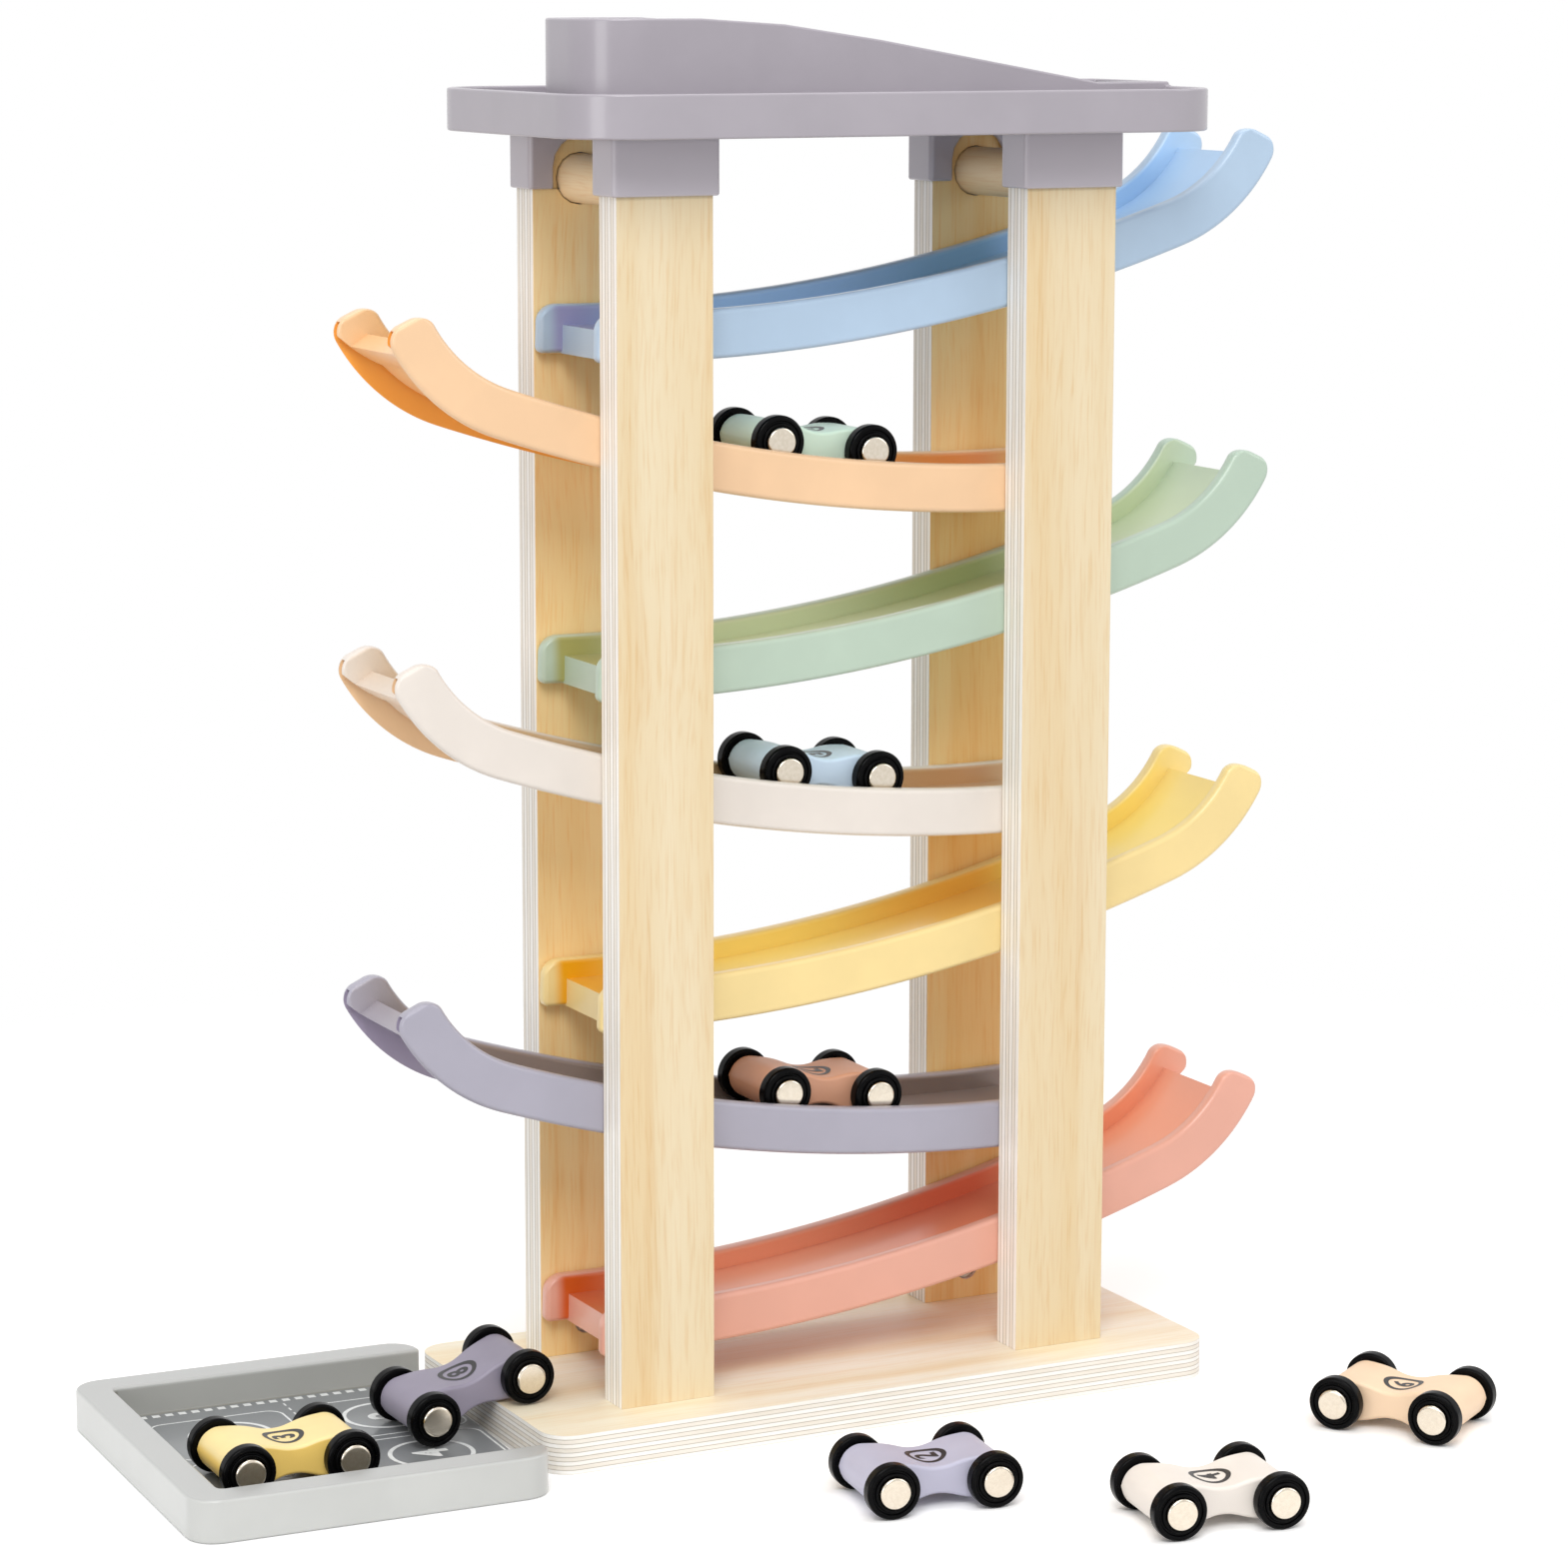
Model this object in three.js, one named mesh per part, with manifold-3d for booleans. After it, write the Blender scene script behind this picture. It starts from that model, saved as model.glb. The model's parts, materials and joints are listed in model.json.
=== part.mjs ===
// Wooden car track: a plywood tower with seven moulded tracks, a launch tray, a parking tray and eight cars.
// Millimetres, +Z up. The origin is the middle of the base board's underside, with +X to the viewer's right.
import * as THREE from "three";
import { mergeVertices } from "three/addons/utils/BufferGeometryUtils.js";
import Module from "manifold-3d";

const wasm = await Module();
wasm.setup();

// Plywood frame
const baseLength = 228;
const baseDepth = 105;
const baseThickness = 12;
const baseCornerRadius = 9;
const postWidth = 31;
const postThickness = 12;
const postSpacing = 136.2;
const postGap = 47.4;
const dowelRadius = 7.5;
const dowelBelowTop = 14;
const dowelSocketDepth = 6;

// Base bolts and barrel nuts
const boltRadius = 2;
const boltHeadRadius = 4;
const boltHeadHeight = 2.6;
const boltHeadRecess = 3.4;
const nutRadius = 3.5;
const nutLength = 9.5;
const nutHeight = 10;
const boltPastNut = 1.2;

// Moulded tracks
const trackCount = 7;
const trackPitch = 50.1;
const lowestTrack = 24.4;
const topTrackHeadroom = 66;
const sideClearance = 0.3;
const runRadius = 570;
const runLowPoint = -66;
const catchStart = 116;
const catchRadius = 58;
const tipAngle = THREE.MathUtils.degToRad(66);
const lipSetback = 7.6;
const railHeight = 14.8;
const railWidth = 4.8;
const railReach = 84;
const floorSetback = 7.5;
const channelDepth = 6.2;
const plasticWall = 2;
const railSlit = 1.1;
const railNoseRadius = 6;
const railFootRadius = 2;
const tipRadius = 6;
const hollowFullAngle = THREE.MathUtils.degToRad(45);
const hollowEndAngle = THREE.MathUtils.degToRad(63);
const pegRadius = 2.5;
const pegLength = 5;
const pegRise = 6.8;

// Launch tray
const trayLength = 214.4;
const trayDepth = 118;
const trayShift = 3.7;
const trayRim = 12.8;
const trayWall = 2.8;
const trayFloor = 2.5;
const trayCornerRadius = 22;
const socketWall = 1.5;
const socketDepth = 17;
const archBelowTray = 1.2;
const rampHeight = 33.6;
const rampEndHeight = 14.2;
const rampStart = -85.5;
const rampBrow = -50;
const rampFoot = 84;
const dropStart = 80;
const rampCornerRadius = 18;

// Parking tray
const parkLength = 110;
const parkDepth = 126;
const parkHeight = 13;
const parkWall = 10.5;
const parkSkin = 2;
const parkFloor = 3;
const parkCornerRadius = 9;
const parkGap = 3;
const parkShift = -3.5;
const parkTurn = THREE.MathUtils.degToRad(-2.2);

// Cars
const wheelbase = 32;
const wheelTrack = 29.3;
const tyreRadius = 8.3;
const tyreWidth = 4.4;
const shoulder = 0.9;
const hubRingRadius = 5.9;
const hubRingReach = 0.8;
const capRadius = 4.7;
const capReach = 0.5;
const axleRadius = 1.2;
const bodyEndRadius = 6.4;
const bodyWaistHeight = 8.2;
const bodyWaistNarrowing = 1.5;
const wheelClearance = 0.5;

// Where the loose cars stand
const lavenderCarX = -24;
const lavenderCarAhead = 64.5;
const whiteCarX = 40;
const whiteCarAhead = 117.5;
const peachCarX = 140.5;
const peachCarAhead = 68.5;
const yellowCarFromEnd = 29.2;
const yellowCarFromFront = 29.4;
const stepCarOnBase = 7.4;
const stepCarY = -3;
const stepCarHeading = 180.5;

// Fits and facets
const fit = 0.3;
const arcSteps = 4;
const slitSteps = 2;
const roundSides = 16;
const boreSides = 6;
const wheelSides = 12;

// Positions that follow from the sizes above
const postX = postSpacing / 2;
const postY = (postGap + postThickness) / 2;
const postTop = lowestTrack + (trackCount - 1) * trackPitch + topTrackHeadroom;
const dowelHeight = postTop - dowelBelowTop;
const trackWidth = postGap - 2 * sideClearance;
const channelHalf = trackWidth / 2 - railWidth;
const floorRise = railHeight - channelDepth;

function finish(colour, roughness, metalness) {
  return new THREE.MeshStandardMaterial({ color: colour, roughness, metalness });
}

const birch = finish("#e9d2a6", 0.6, 0);
const greyPlastic = finish("#a9a3ab", 0.45, 0);
const paleGreyPlastic = finish("#c9c9c8", 0.5, 0);
const steel = finish("#b9b8b4", 0.35, 1);
const rubber = finish("#161618", 0.4, 0);
const trackColours = {
  coral: "#e79a86",
  lavender: "#a7a2b4",
  yellow: "#f2cf73",
  cream: "#ecdccf",
  green: "#b5cfae",
  orange: "#f6c38d",
  blue: "#a9c8e6",
};

// A closed geometry as a solid that can be joined and cut.
function solid(geometry) {
  const bare = geometry.index ? geometry.toNonIndexed() : geometry;
  const points = new THREE.BufferGeometry().setAttribute("position", bare.getAttribute("position"));
  const merged = mergeVertices(points, 1e-4);
  const triVerts = new Uint32Array(merged.index.array);
  const vertProperties = merged.attributes.position.array;
  return new wasm.Manifold(new wasm.Mesh({ numProp: 3, vertProperties, triVerts }));
}

// A solid as a geometry again.
function surface(body) {
  const mesh = body.getMesh();
  return new THREE.BufferGeometry()
    .setAttribute("position", new THREE.BufferAttribute(new Float32Array(mesh.vertProperties), 3))
    .setIndex(new THREE.BufferAttribute(new Uint32Array(mesh.triVerts), 1))
    .toNonIndexed();
}

function part(name, body, material) {
  const geometry = surface(body);
  geometry.computeVertexNormals();
  const mesh = new THREE.Mesh(geometry, material);
  mesh.name = name;
  return mesh;
}

// A plan outline raised from one height to another.
function raised(outline, bottom, top, steps = arcSteps) {
  const settings = { depth: top - bottom, bevelEnabled: false, curveSegments: steps };
  return solid(new THREE.ExtrudeGeometry(outline, settings).translate(0, 0, bottom));
}

// A side outline, drawn in X and Z, spread across from one Y to another.
function spread(outline, front, back, steps = arcSteps) {
  const settings = { depth: back - front, bevelEnabled: false, curveSegments: steps };
  const geometry = new THREE.ExtrudeGeometry(outline, settings);
  return solid(geometry.rotateX(Math.PI / 2).translate(0, back, 0));
}

function box(x0, x1, y0, y1, z0, z1) {
  const block = new THREE.BoxGeometry(x1 - x0, y1 - y0, z1 - z0);
  return solid(block.translate((x0 + x1) / 2, (y0 + y1) / 2, (z0 + z1) / 2));
}

// A round bar along Y from one end to the other.
function bar(radius, x, z, front, back, sides = roundSides) {
  const rod = new THREE.CylinderGeometry(radius, radius, back - front, sides);
  return solid(rod.translate(x, (front + back) / 2, z));
}

// A round bar along Z from one end to the other.
function upright(radius, x, y, bottom, top, sides = roundSides) {
  const rod = new THREE.CylinderGeometry(radius, radius, top - bottom, sides);
  return solid(rod.rotateX(Math.PI / 2).translate(x, y, (bottom + top) / 2));
}

function roundedRectangle(length, depth, radius, x = 0, y = 0) {
  const right = x + length / 2;
  const left = x - length / 2;
  const rear = y + depth / 2;
  const near = y - depth / 2;
  const quarter = Math.PI / 2;
  return new THREE.Shape()
    .absarc(right - radius, near + radius, radius, -quarter, 0, false)
    .absarc(right - radius, rear - radius, radius, 0, quarter, false)
    .absarc(left + radius, rear - radius, radius, quarter, 2 * quarter, false)
    .absarc(left + radius, near + radius, radius, 2 * quarter, 3 * quarter, false);
}

// Track profile: a long shallow arc that runs into a short steep one, the catch.
// Angles are measured from straight down, and a height is measured up from the lower edge.
const joinAngle = Math.asin((catchStart - runLowPoint) / runRadius);
const lowAngle = Math.asin((-railReach - runLowPoint) / runRadius);
const floorAngle = Math.asin((floorSetback - railReach - runLowPoint) / runRadius);
const lipAngle = tipAngle - lipSetback / (catchRadius - floorRise);
const run = { x: runLowPoint, z: runRadius, radius: runRadius };
const caught = {
  x: runLowPoint + (runRadius - catchRadius) * Math.sin(joinAngle),
  z: runRadius - (runRadius - catchRadius) * Math.cos(joinAngle),
  radius: catchRadius,
};

function onArc(arc, height, angle) {
  const reach = arc.radius - height;
  return new THREE.Vector2(arc.x + reach * Math.sin(angle), arc.z - reach * Math.cos(angle));
}

function follow(outline, arc, height, from, to) {
  const turn = Math.PI / 2;
  outline.absarc(arc.x, arc.z, arc.radius - height, from - turn, to - turn, to < from);
}

function roundTo(outline, corner, end) {
  outline.quadraticCurveTo(corner.x, corner.y, end.x, end.y);
}

// The space between two heights, from an angle on the run to an angle on the catch.
function trackBand(low, high, start, end) {
  const outline = new THREE.Shape();
  follow(outline, run, low, start, joinAngle);
  follow(outline, caught, low, joinAngle, end);
  follow(outline, caught, high, end, joinAngle);
  follow(outline, run, high, joinAngle, start);
  return outline;
}

// A rail seen from the side, rounded at the nose of its low end and at the tip of its catch.
function railOutline() {
  const outline = new THREE.Shape();
  const top = railHeight;
  const tipTurn = tipRadius / catchRadius;
  const tipTopTurn = tipRadius / (catchRadius - top);
  const footTurn = railFootRadius / runRadius;
  const noseTurn = railNoseRadius / runRadius;
  follow(outline, run, 0, lowAngle + footTurn, joinAngle);
  follow(outline, caught, 0, joinAngle, tipAngle - tipTurn);
  roundTo(outline, onArc(caught, 0, tipAngle), onArc(caught, tipRadius, tipAngle));
  const tipTop = onArc(caught, top - tipRadius, tipAngle);
  outline.lineTo(tipTop.x, tipTop.y);
  roundTo(outline, onArc(caught, top, tipAngle), onArc(caught, top, tipAngle - tipTopTurn));
  follow(outline, caught, top, tipAngle - tipTopTurn, joinAngle);
  follow(outline, run, top, joinAngle, lowAngle + noseTurn);
  roundTo(outline, onArc(run, top, lowAngle), onArc(run, top - railNoseRadius, lowAngle));
  const foot = onArc(run, railFootRadius, lowAngle);
  outline.lineTo(foot.x, foot.y);
  roundTo(outline, onArc(run, 0, lowAngle), onArc(run, 0, lowAngle + footTurn));
  return outline;
}

// Height of a peg's axis above the track's low point, on the post at the given side.
function pegHeight(x) {
  const angle = Math.asin((x - runLowPoint) / runRadius);
  return onArc(run, pegRise, angle).y;
}

// The hollow under the channel floor, deep along the run and running out towards the tip.
function hollowOutline(start, past) {
  const depth = floorRise - plasticWall;
  const outline = new THREE.Shape();
  follow(outline, run, -past, start, joinAngle);
  follow(outline, caught, -past, joinAngle, hollowEndAngle);
  const runOut = onArc(caught, 0, hollowEndAngle);
  outline.lineTo(runOut.x, runOut.y);
  follow(outline, caught, depth, hollowFullAngle, joinAngle);
  follow(outline, run, depth, joinAngle, start);
  return outline;
}

// One track moulding: two hollow rails, a channel floor with an end wall, and four pegs.
function trackBody() {
  const half = trackWidth / 2;
  const past = 1;
  const skirt = half - plasticWall;
  const wallAngle = plasticWall / runRadius;
  let body = spread(trackBand(0, floorRise, floorAngle, lipAngle), -channelHalf - past, channelHalf + past);
  for (const side of [-1, 1]) {
    const near = side < 0 ? -half : half - railWidth;
    body = body.add(spread(railOutline(), near, near + railWidth));
  }
  body = body.subtract(spread(hollowOutline(floorAngle + wallAngle, past), -skirt, skirt));
  const slitStart = lowAngle + wallAngle;
  const slit = trackBand(-past, railHeight - plasticWall, slitStart, lipAngle + tipAngle / 2);
  for (const side of [-1, 1]) {
    const near = side < 0 ? -skirt : skirt - railSlit;
    body = body.subtract(spread(slit, near, near + railSlit, slitSteps));
  }
  for (const x of [-postX, postX]) {
    const height = pegHeight(x);
    body = body.add(bar(pegRadius, x, height, half - past, half + sideClearance + pegLength, boreSides));
    body = body.add(bar(pegRadius, x, height, -half - sideClearance - pegLength, past - half, boreSides));
  }
  return body;
}

// Tracks climb to the right and to the left by turns, the lowest one to the right.
const tracks = Object.keys(trackColours).map((colour, level) => ({
  colour,
  height: lowestTrack + level * trackPitch,
  turned: level % 2 === 1,
}));

// One post: peg holes for every track, a socket for the cross dowel, and the bolt and barrel nut holes.
function postBody(sideX, sideY) {
  const x = sideX * postX;
  const inner = (sideY * postGap) / 2;
  const outer = sideY * (postGap / 2 + postThickness);
  const near = Math.min(inner, outer);
  const far = Math.max(inner, outer);
  const span = (depth) => [inner - sideY, inner + sideY * depth].sort((a, b) => a - b);
  let body = box(x - postWidth / 2, x + postWidth / 2, near, far, baseThickness, postTop);
  for (const { height, turned } of tracks) {
    const z = height + pegHeight(turned ? -x : x);
    body = body.subtract(bar(pegRadius + fit, x, z, ...span(pegLength + fit), boreSides));
  }
  body = body.subtract(bar(dowelRadius + fit, x, dowelHeight, ...span(dowelSocketDepth)));
  const nutZ = baseThickness + nutHeight;
  const nutDepth = (postThickness + nutLength) / 2 + fit;
  body = body.subtract(bar(nutRadius + fit, x, nutZ, ...span(nutDepth)));
  const boltTop = nutZ + nutRadius + boltPastNut + fit;
  return body.subtract(upright(boltRadius + fit, x, sideY * postY, baseThickness - 1, boltTop, boreSides));
}

function baseBody() {
  let body = raised(roundedRectangle(baseLength, baseDepth, baseCornerRadius), 0, baseThickness, 3);
  for (const sideX of [-1, 1]) {
    for (const sideY of [-1, 1]) {
      const x = sideX * postX;
      const y = sideY * postY;
      body = body.subtract(upright(boltRadius + fit, x, y, -1, baseThickness + 1, boreSides));
      body = body.subtract(upright(boltHeadRadius + fit, x, y, -1, boltHeadRecess));
    }
  }
  return body;
}

// A bolt with a pan head in the base's recess and a shank up through the barrel nut.
function boltBody() {
  const headTop = boltHeadRecess - fit;
  const tip = baseThickness + nutHeight + nutRadius + boltPastNut;
  const profile = [
    [0, headTop - boltHeadHeight],
    [boltHeadRadius * 0.8, headTop - boltHeadHeight],
    [boltHeadRadius, headTop - boltHeadHeight / 2],
    [boltHeadRadius, headTop],
    [boltRadius, headTop],
    [boltRadius, tip - boltRadius / 2],
    [boltRadius / 2, tip],
    [0, tip],
  ];
  return turned(profile, boreSides).rotate([90, 0, 0]);
}

// A profile of radius and height turned about the Y axis.
function turned(profile, sides) {
  return solid(new THREE.LatheGeometry(profile.map(([r, h]) => new THREE.Vector2(r, h)), sides));
}

function nutBody() {
  const nut = bar(nutRadius, 0, 0, -nutLength / 2, nutLength / 2);
  return nut.subtract(upright(boltRadius + fit, 0, 0, -nutRadius - 1, nutRadius + 1, boreSides));
}

// The launch ramp's side walls: level at the back, an easy brow, then a slope down to the drop.
function rampOutline(drop, end) {
  const top = postTop + rampHeight - drop;
  const foot = postTop + rampEndHeight - drop;
  const span = rampFoot - rampBrow;
  const outline = new THREE.Shape();
  outline.moveTo(rampStart, postTop - 1);
  outline.lineTo(end, postTop - 1);
  outline.lineTo(end, foot);
  outline.lineTo(rampFoot, foot);
  outline.bezierCurveTo(rampBrow + span * 0.59, foot + 9, rampBrow + span * 0.25, top, rampBrow, top);
  outline.lineTo(rampStart, top);
  return outline;
}

// A sleeve under the tray that slips over a post, with an arch that rises over the cross dowel.
function socketBody(sideX, sideY) {
  const x = sideX * postX;
  const y = sideY * postY;
  const bottom = postTop - socketDepth;
  const grow = 2 * (fit + socketWall);
  const archRadius = dowelRadius + fit + socketWall;
  const archCentre = postTop - archBelowTray - archRadius;
  const inner = sideY * (postGap / 2 - fit - socketWall - 1);
  const outer = sideY * (postGap / 2 + fit);
  const near = Math.min(inner, outer);
  const far = Math.max(inner, outer);
  const plan = roundedRectangle(postWidth + grow, postThickness + grow, socketWall, x, y);
  let body = raised(plan, bottom, postTop + 1, 1);
  body = body.subtract(
    box(
      x - postWidth / 2 - fit,
      x + postWidth / 2 + fit,
      y - postThickness / 2 - fit,
      y + postThickness / 2 + fit,
      bottom - 1,
      postTop,
    ),
  );
  body = body.subtract(bar(archRadius, x, archCentre, near, far));
  return body.subtract(box(x - archRadius, x + archRadius, near, far, bottom - 1, archCentre));
}

// The ramp seen from above, drawn in by an inset: rounded at its start and open past its foot.
function rampPlan(inset) {
  const start = rampStart + inset;
  const length = trayLength - start;
  return roundedRectangle(length, trackWidth - 2 * inset, rampCornerRadius - inset, start + length / 2);
}

// The launch tray: a rimmed tray with a hollow ramp, a drop hole at the ramp's foot and four post sockets.
function launchTrayBody() {
  const bottom = postTop;
  const innerLength = trayLength - 2 * trayWall;
  const innerDepth = trayDepth - 2 * trayWall;
  const outerPlan = roundedRectangle(trayLength, trayDepth, trayCornerRadius, trayShift);
  const innerPlan = roundedRectangle(innerLength, innerDepth, trayCornerRadius - trayWall, trayShift);
  const innerEnd = trayShift + innerLength / 2;
  const wallEnd = innerEnd + trayWall / 2;
  const half = trackWidth / 2;
  let body = raised(outerPlan, bottom, bottom + trayRim);
  body = body.subtract(raised(innerPlan, bottom + trayFloor, bottom + trayRim + 1));
  let ramp = spread(rampOutline(0, wallEnd), -half, half);
  ramp = ramp.intersect(raised(rampPlan(0), bottom, bottom + rampHeight + 1));
  body = body.add(ramp);
  const past = postTop + rampHeight + 1;
  const beforeDrop = box(rampStart, dropStart, -half, half, bottom, past);
  const above = raised(rampPlan(railWidth), bottom + trayFloor, past).intersect(beforeDrop);
  const channelFloor = spread(rampOutline(channelDepth, wallEnd), -channelHalf - 1, channelHalf + 1);
  body = body.subtract(above.subtract(channelFloor));
  const hollow = spread(rampOutline(channelDepth + trayFloor, wallEnd), trayWall - half, half - trayWall);
  const shell = box(rampStart, dropStart - trayFloor, -half, half, bottom - 1, past);
  const under = raised(rampPlan(trayWall), bottom - 1, past).intersect(shell);
  body = body.subtract(hollow.intersect(under));
  body = body.subtract(box(dropStart, innerEnd, -channelHalf, channelHalf, bottom - 1, past));
  for (const sideX of [-1, 1]) {
    for (const sideY of [-1, 1]) {
      body = body.add(socketBody(sideX, sideY));
    }
  }
  return body;
}

// The parking tray: thick hollow walls on three sides and a floor, open towards the tower.
function parkingBody() {
  const left = -parkLength / 2;
  const half = parkDepth / 2;
  const innerHalf = half - parkWall;
  let body = raised(roundedRectangle(parkLength, parkDepth, parkCornerRadius), 0, parkHeight, 3);
  const inside = roundedRectangle(2 * parkLength, 2 * innerHalf, parkSkin, left + parkWall + parkLength);
  body = body.subtract(raised(inside, parkFloor, parkHeight + 1, 1));
  const grooveTop = parkHeight - parkSkin;
  const grooveWidth = parkWall - 2 * parkSkin;
  const grooveEnd = parkLength / 2 - parkCornerRadius;
  const grooveStart = left + parkSkin;
  const grooveHalf = half - parkSkin;
  const corner = parkCornerRadius - parkSkin;
  const outline = roundedRectangle(2 * (grooveEnd - grooveStart), 2 * grooveHalf, corner, grooveEnd);
  const core = roundedRectangle(
    2 * (grooveEnd - grooveStart - grooveWidth),
    2 * (grooveHalf - grooveWidth),
    parkSkin,
    grooveEnd,
  );
  let groove = raised(outline, -1, grooveTop, 2).subtract(raised(core, -2, grooveTop + 1, 1));
  groove = groove.intersect(box(left, grooveEnd, -half, half, -1, grooveTop));
  return body.subtract(groove);
}

// A car body: bone shaped from the side, gently waisted from above, bored for two axles.
function carBody() {
  const halfBase = wheelbase / 2;
  const waist = bodyWaistHeight / 2;
  const rise = bodyEndRadius - waist;
  const flank = wheelTrack / 2 - tyreWidth / 2 - wheelClearance;
  const sag = halfBase * 0.35;
  const end = halfBase + bodyEndRadius;
  const quarter = Math.PI / 2;
  const side = new THREE.Shape()
    .absarc(halfBase, 0, bodyEndRadius, -quarter, quarter, false)
    .bezierCurveTo(sag, bodyEndRadius, sag, bodyEndRadius - rise, 0, waist)
    .bezierCurveTo(-sag, bodyEndRadius - rise, -sag, bodyEndRadius, -halfBase, bodyEndRadius)
    .absarc(-halfBase, 0, bodyEndRadius, quarter, 3 * quarter, false)
    .bezierCurveTo(-sag, -bodyEndRadius, -sag, rise - bodyEndRadius, 0, -waist)
    .bezierCurveTo(sag, rise - bodyEndRadius, sag, -bodyEndRadius, halfBase, -bodyEndRadius);
  const narrow = flank - 2 * bodyWaistNarrowing;
  const plan = new THREE.Shape()
    .moveTo(-end - 1, -flank)
    .lineTo(-halfBase, -flank)
    .quadraticCurveTo(0, -narrow, halfBase, -flank)
    .lineTo(end + 1, -flank)
    .lineTo(end + 1, flank)
    .lineTo(halfBase, flank)
    .quadraticCurveTo(0, narrow, -halfBase, flank)
    .lineTo(-end - 1, flank);
  let body = spread(side, -flank - 1, flank + 1, 4);
  body = body.intersect(raised(plan, -bodyEndRadius - 1, bodyEndRadius + 1, 4));
  for (const x of [-halfBase, halfBase]) {
    body = body.subtract(bar(axleRadius + fit, x, 0, -flank - 1, flank + 1, 8));
  }
  return body;
}

// An axle with its two wheels: stepped tyre, raised hub ring and a hub cap, turned as one piece.
function wheelSetBody() {
  const inner = wheelTrack / 2 - tyreWidth / 2;
  const outer = wheelTrack / 2 + tyreWidth / 2;
  const ring = outer + hubRingReach;
  const half = [
    [axleRadius, inner],
    [tyreRadius, inner],
    [tyreRadius, outer - shoulder],
    [tyreRadius - shoulder, outer],
    [hubRingRadius, outer],
    [hubRingRadius, ring],
    [capRadius, ring + capReach],
    [0, ring + capReach],
  ];
  const mirrored = half.map(([r, h]) => [r, -h]).reverse();
  return turned([...mirrored, ...half], wheelSides);
}

const root = new THREE.Group();

root.add(part("base_board", baseBody(), birch));
for (const [nameX, sideX] of [["left", -1], ["right", 1]]) {
  for (const [nameY, sideY] of [["front", -1], ["back", 1]]) {
    const place = nameY + "_" + nameX;
    root.add(part("post_" + place, postBody(sideX, sideY), birch));
    const bolt = part("base_bolt_" + place, boltBody(), steel);
    bolt.position.set(sideX * postX, sideY * postY, 0);
    root.add(bolt);
    const nut = part("barrel_nut_" + place, nutBody(), steel);
    nut.position.set(sideX * postX, sideY * postY, baseThickness + nutHeight);
    root.add(nut);
  }
  const reach = postGap / 2 + dowelSocketDepth - fit;
  const dowel = bar(dowelRadius, sideX * postX, dowelHeight, -reach, reach);
  root.add(part("cross_dowel_" + nameX, dowel, birch));
}
root.add(part("launch_tray", launchTrayBody(), greyPlastic));

// A car with its wheels on the ground, its middle over the group's origin and its nose towards +X.
function car(name, colour) {
  const group = new THREE.Group();
  const body = part(name + "_body", carBody(), finish(colour, 0.55, 0));
  body.position.z = tyreRadius;
  group.add(body);
  for (const [end, x] of [["front", wheelbase / 2], ["rear", -wheelbase / 2]]) {
    const wheels = part(name + "_" + end + "_wheels", wheelSetBody(), rubber);
    wheels.position.set(x, 0, tyreRadius);
    group.add(wheels);
  }
  return group;
}

// Cars that ride on a track sit on a pivot at the centre of the long arc, so they roll by turning it.
const riders = {
  orange: { name: "mint_car", colour: "#d5e4d6", place: 5 },
  cream: { name: "sky_car", colour: "#bcd8ef", place: 2 },
  lavender: { name: "brown_car", colour: "#c49a80", place: 2 },
};
const floorReach = runRadius - floorRise;
const axleReach = floorReach - tyreRadius - fit;
const carReach = Math.sqrt(axleReach * axleReach - (wheelbase * wheelbase) / 4);

for (const { colour, height, turned: mirrored } of tracks) {
  const level = new THREE.Group();
  level.position.z = height;
  level.rotation.z = mirrored ? Math.PI : 0;
  level.add(part("track_" + colour, trackBody(), finish(trackColours[colour], 0.45, 0)));
  const rider = riders[colour];
  if (rider) {
    const pivot = new THREE.Group();
    pivot.position.set(runLowPoint, 0, runRadius);
    pivot.rotation.y = -Math.asin((rider.place - runLowPoint) / carReach);
    const placed = car(rider.name, rider.colour);
    placed.position.z = -carReach - tyreRadius;
    pivot.add(placed);
    level.add(pivot);
  }
  root.add(level);
}

// A car stood somewhere, turned to its heading in degrees.
function stand(placed, x, y, z, heading) {
  placed.position.set(x, y, z);
  placed.rotation.z = THREE.MathUtils.degToRad(heading);
  return placed;
}

// The parking tray stands beside the base's left end, with one car parked in it.
const parking = new THREE.Group();
parking.position.set(-baseLength / 2 - parkGap - parkLength / 2, parkShift, 0);
parking.rotation.z = parkTurn;
parking.add(part("parking_tray", parkingBody(), paleGreyPlastic));
const parkedX = parkWall + yellowCarFromEnd - parkLength / 2;
const parkedY = parkWall + yellowCarFromFront - parkDepth / 2;
parking.add(stand(car("yellow_car", "#f8e3a0"), parkedX, parkedY, parkFloor + fit, 0.8));
root.add(parking);

// Three cars stand on the floor in front of the base.
const front = -baseDepth / 2;
root.add(stand(car("lavender_car", "#b9b6cb"), lavenderCarX, front - lavenderCarAhead, 0, -7));
root.add(stand(car("white_car", "#efe6de"), whiteCarX, front - whiteCarAhead, 0, -8));
root.add(stand(car("peach_car", "#f5d2b0"), peachCarX, front - peachCarAhead, 0, -56));

// One car is on its way down from the base into the parking tray: rear wheels on the base, front ones below.
const stepDrop = baseThickness - parkFloor;
const stepCar = car("purple_car", "#8d8796");
const stepPivot = new THREE.Group();
stepPivot.position.set(stepCarOnBase - baseLength / 2, stepCarY, baseThickness + tyreRadius + fit);
stepPivot.rotation.set(0, Math.asin(stepDrop / wheelbase), THREE.MathUtils.degToRad(stepCarHeading), "ZYX");
stepCar.position.set(wheelbase / 2, 0, -tyreRadius);
stepPivot.add(stepCar);
root.add(stepPivot);

export default root;
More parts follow.
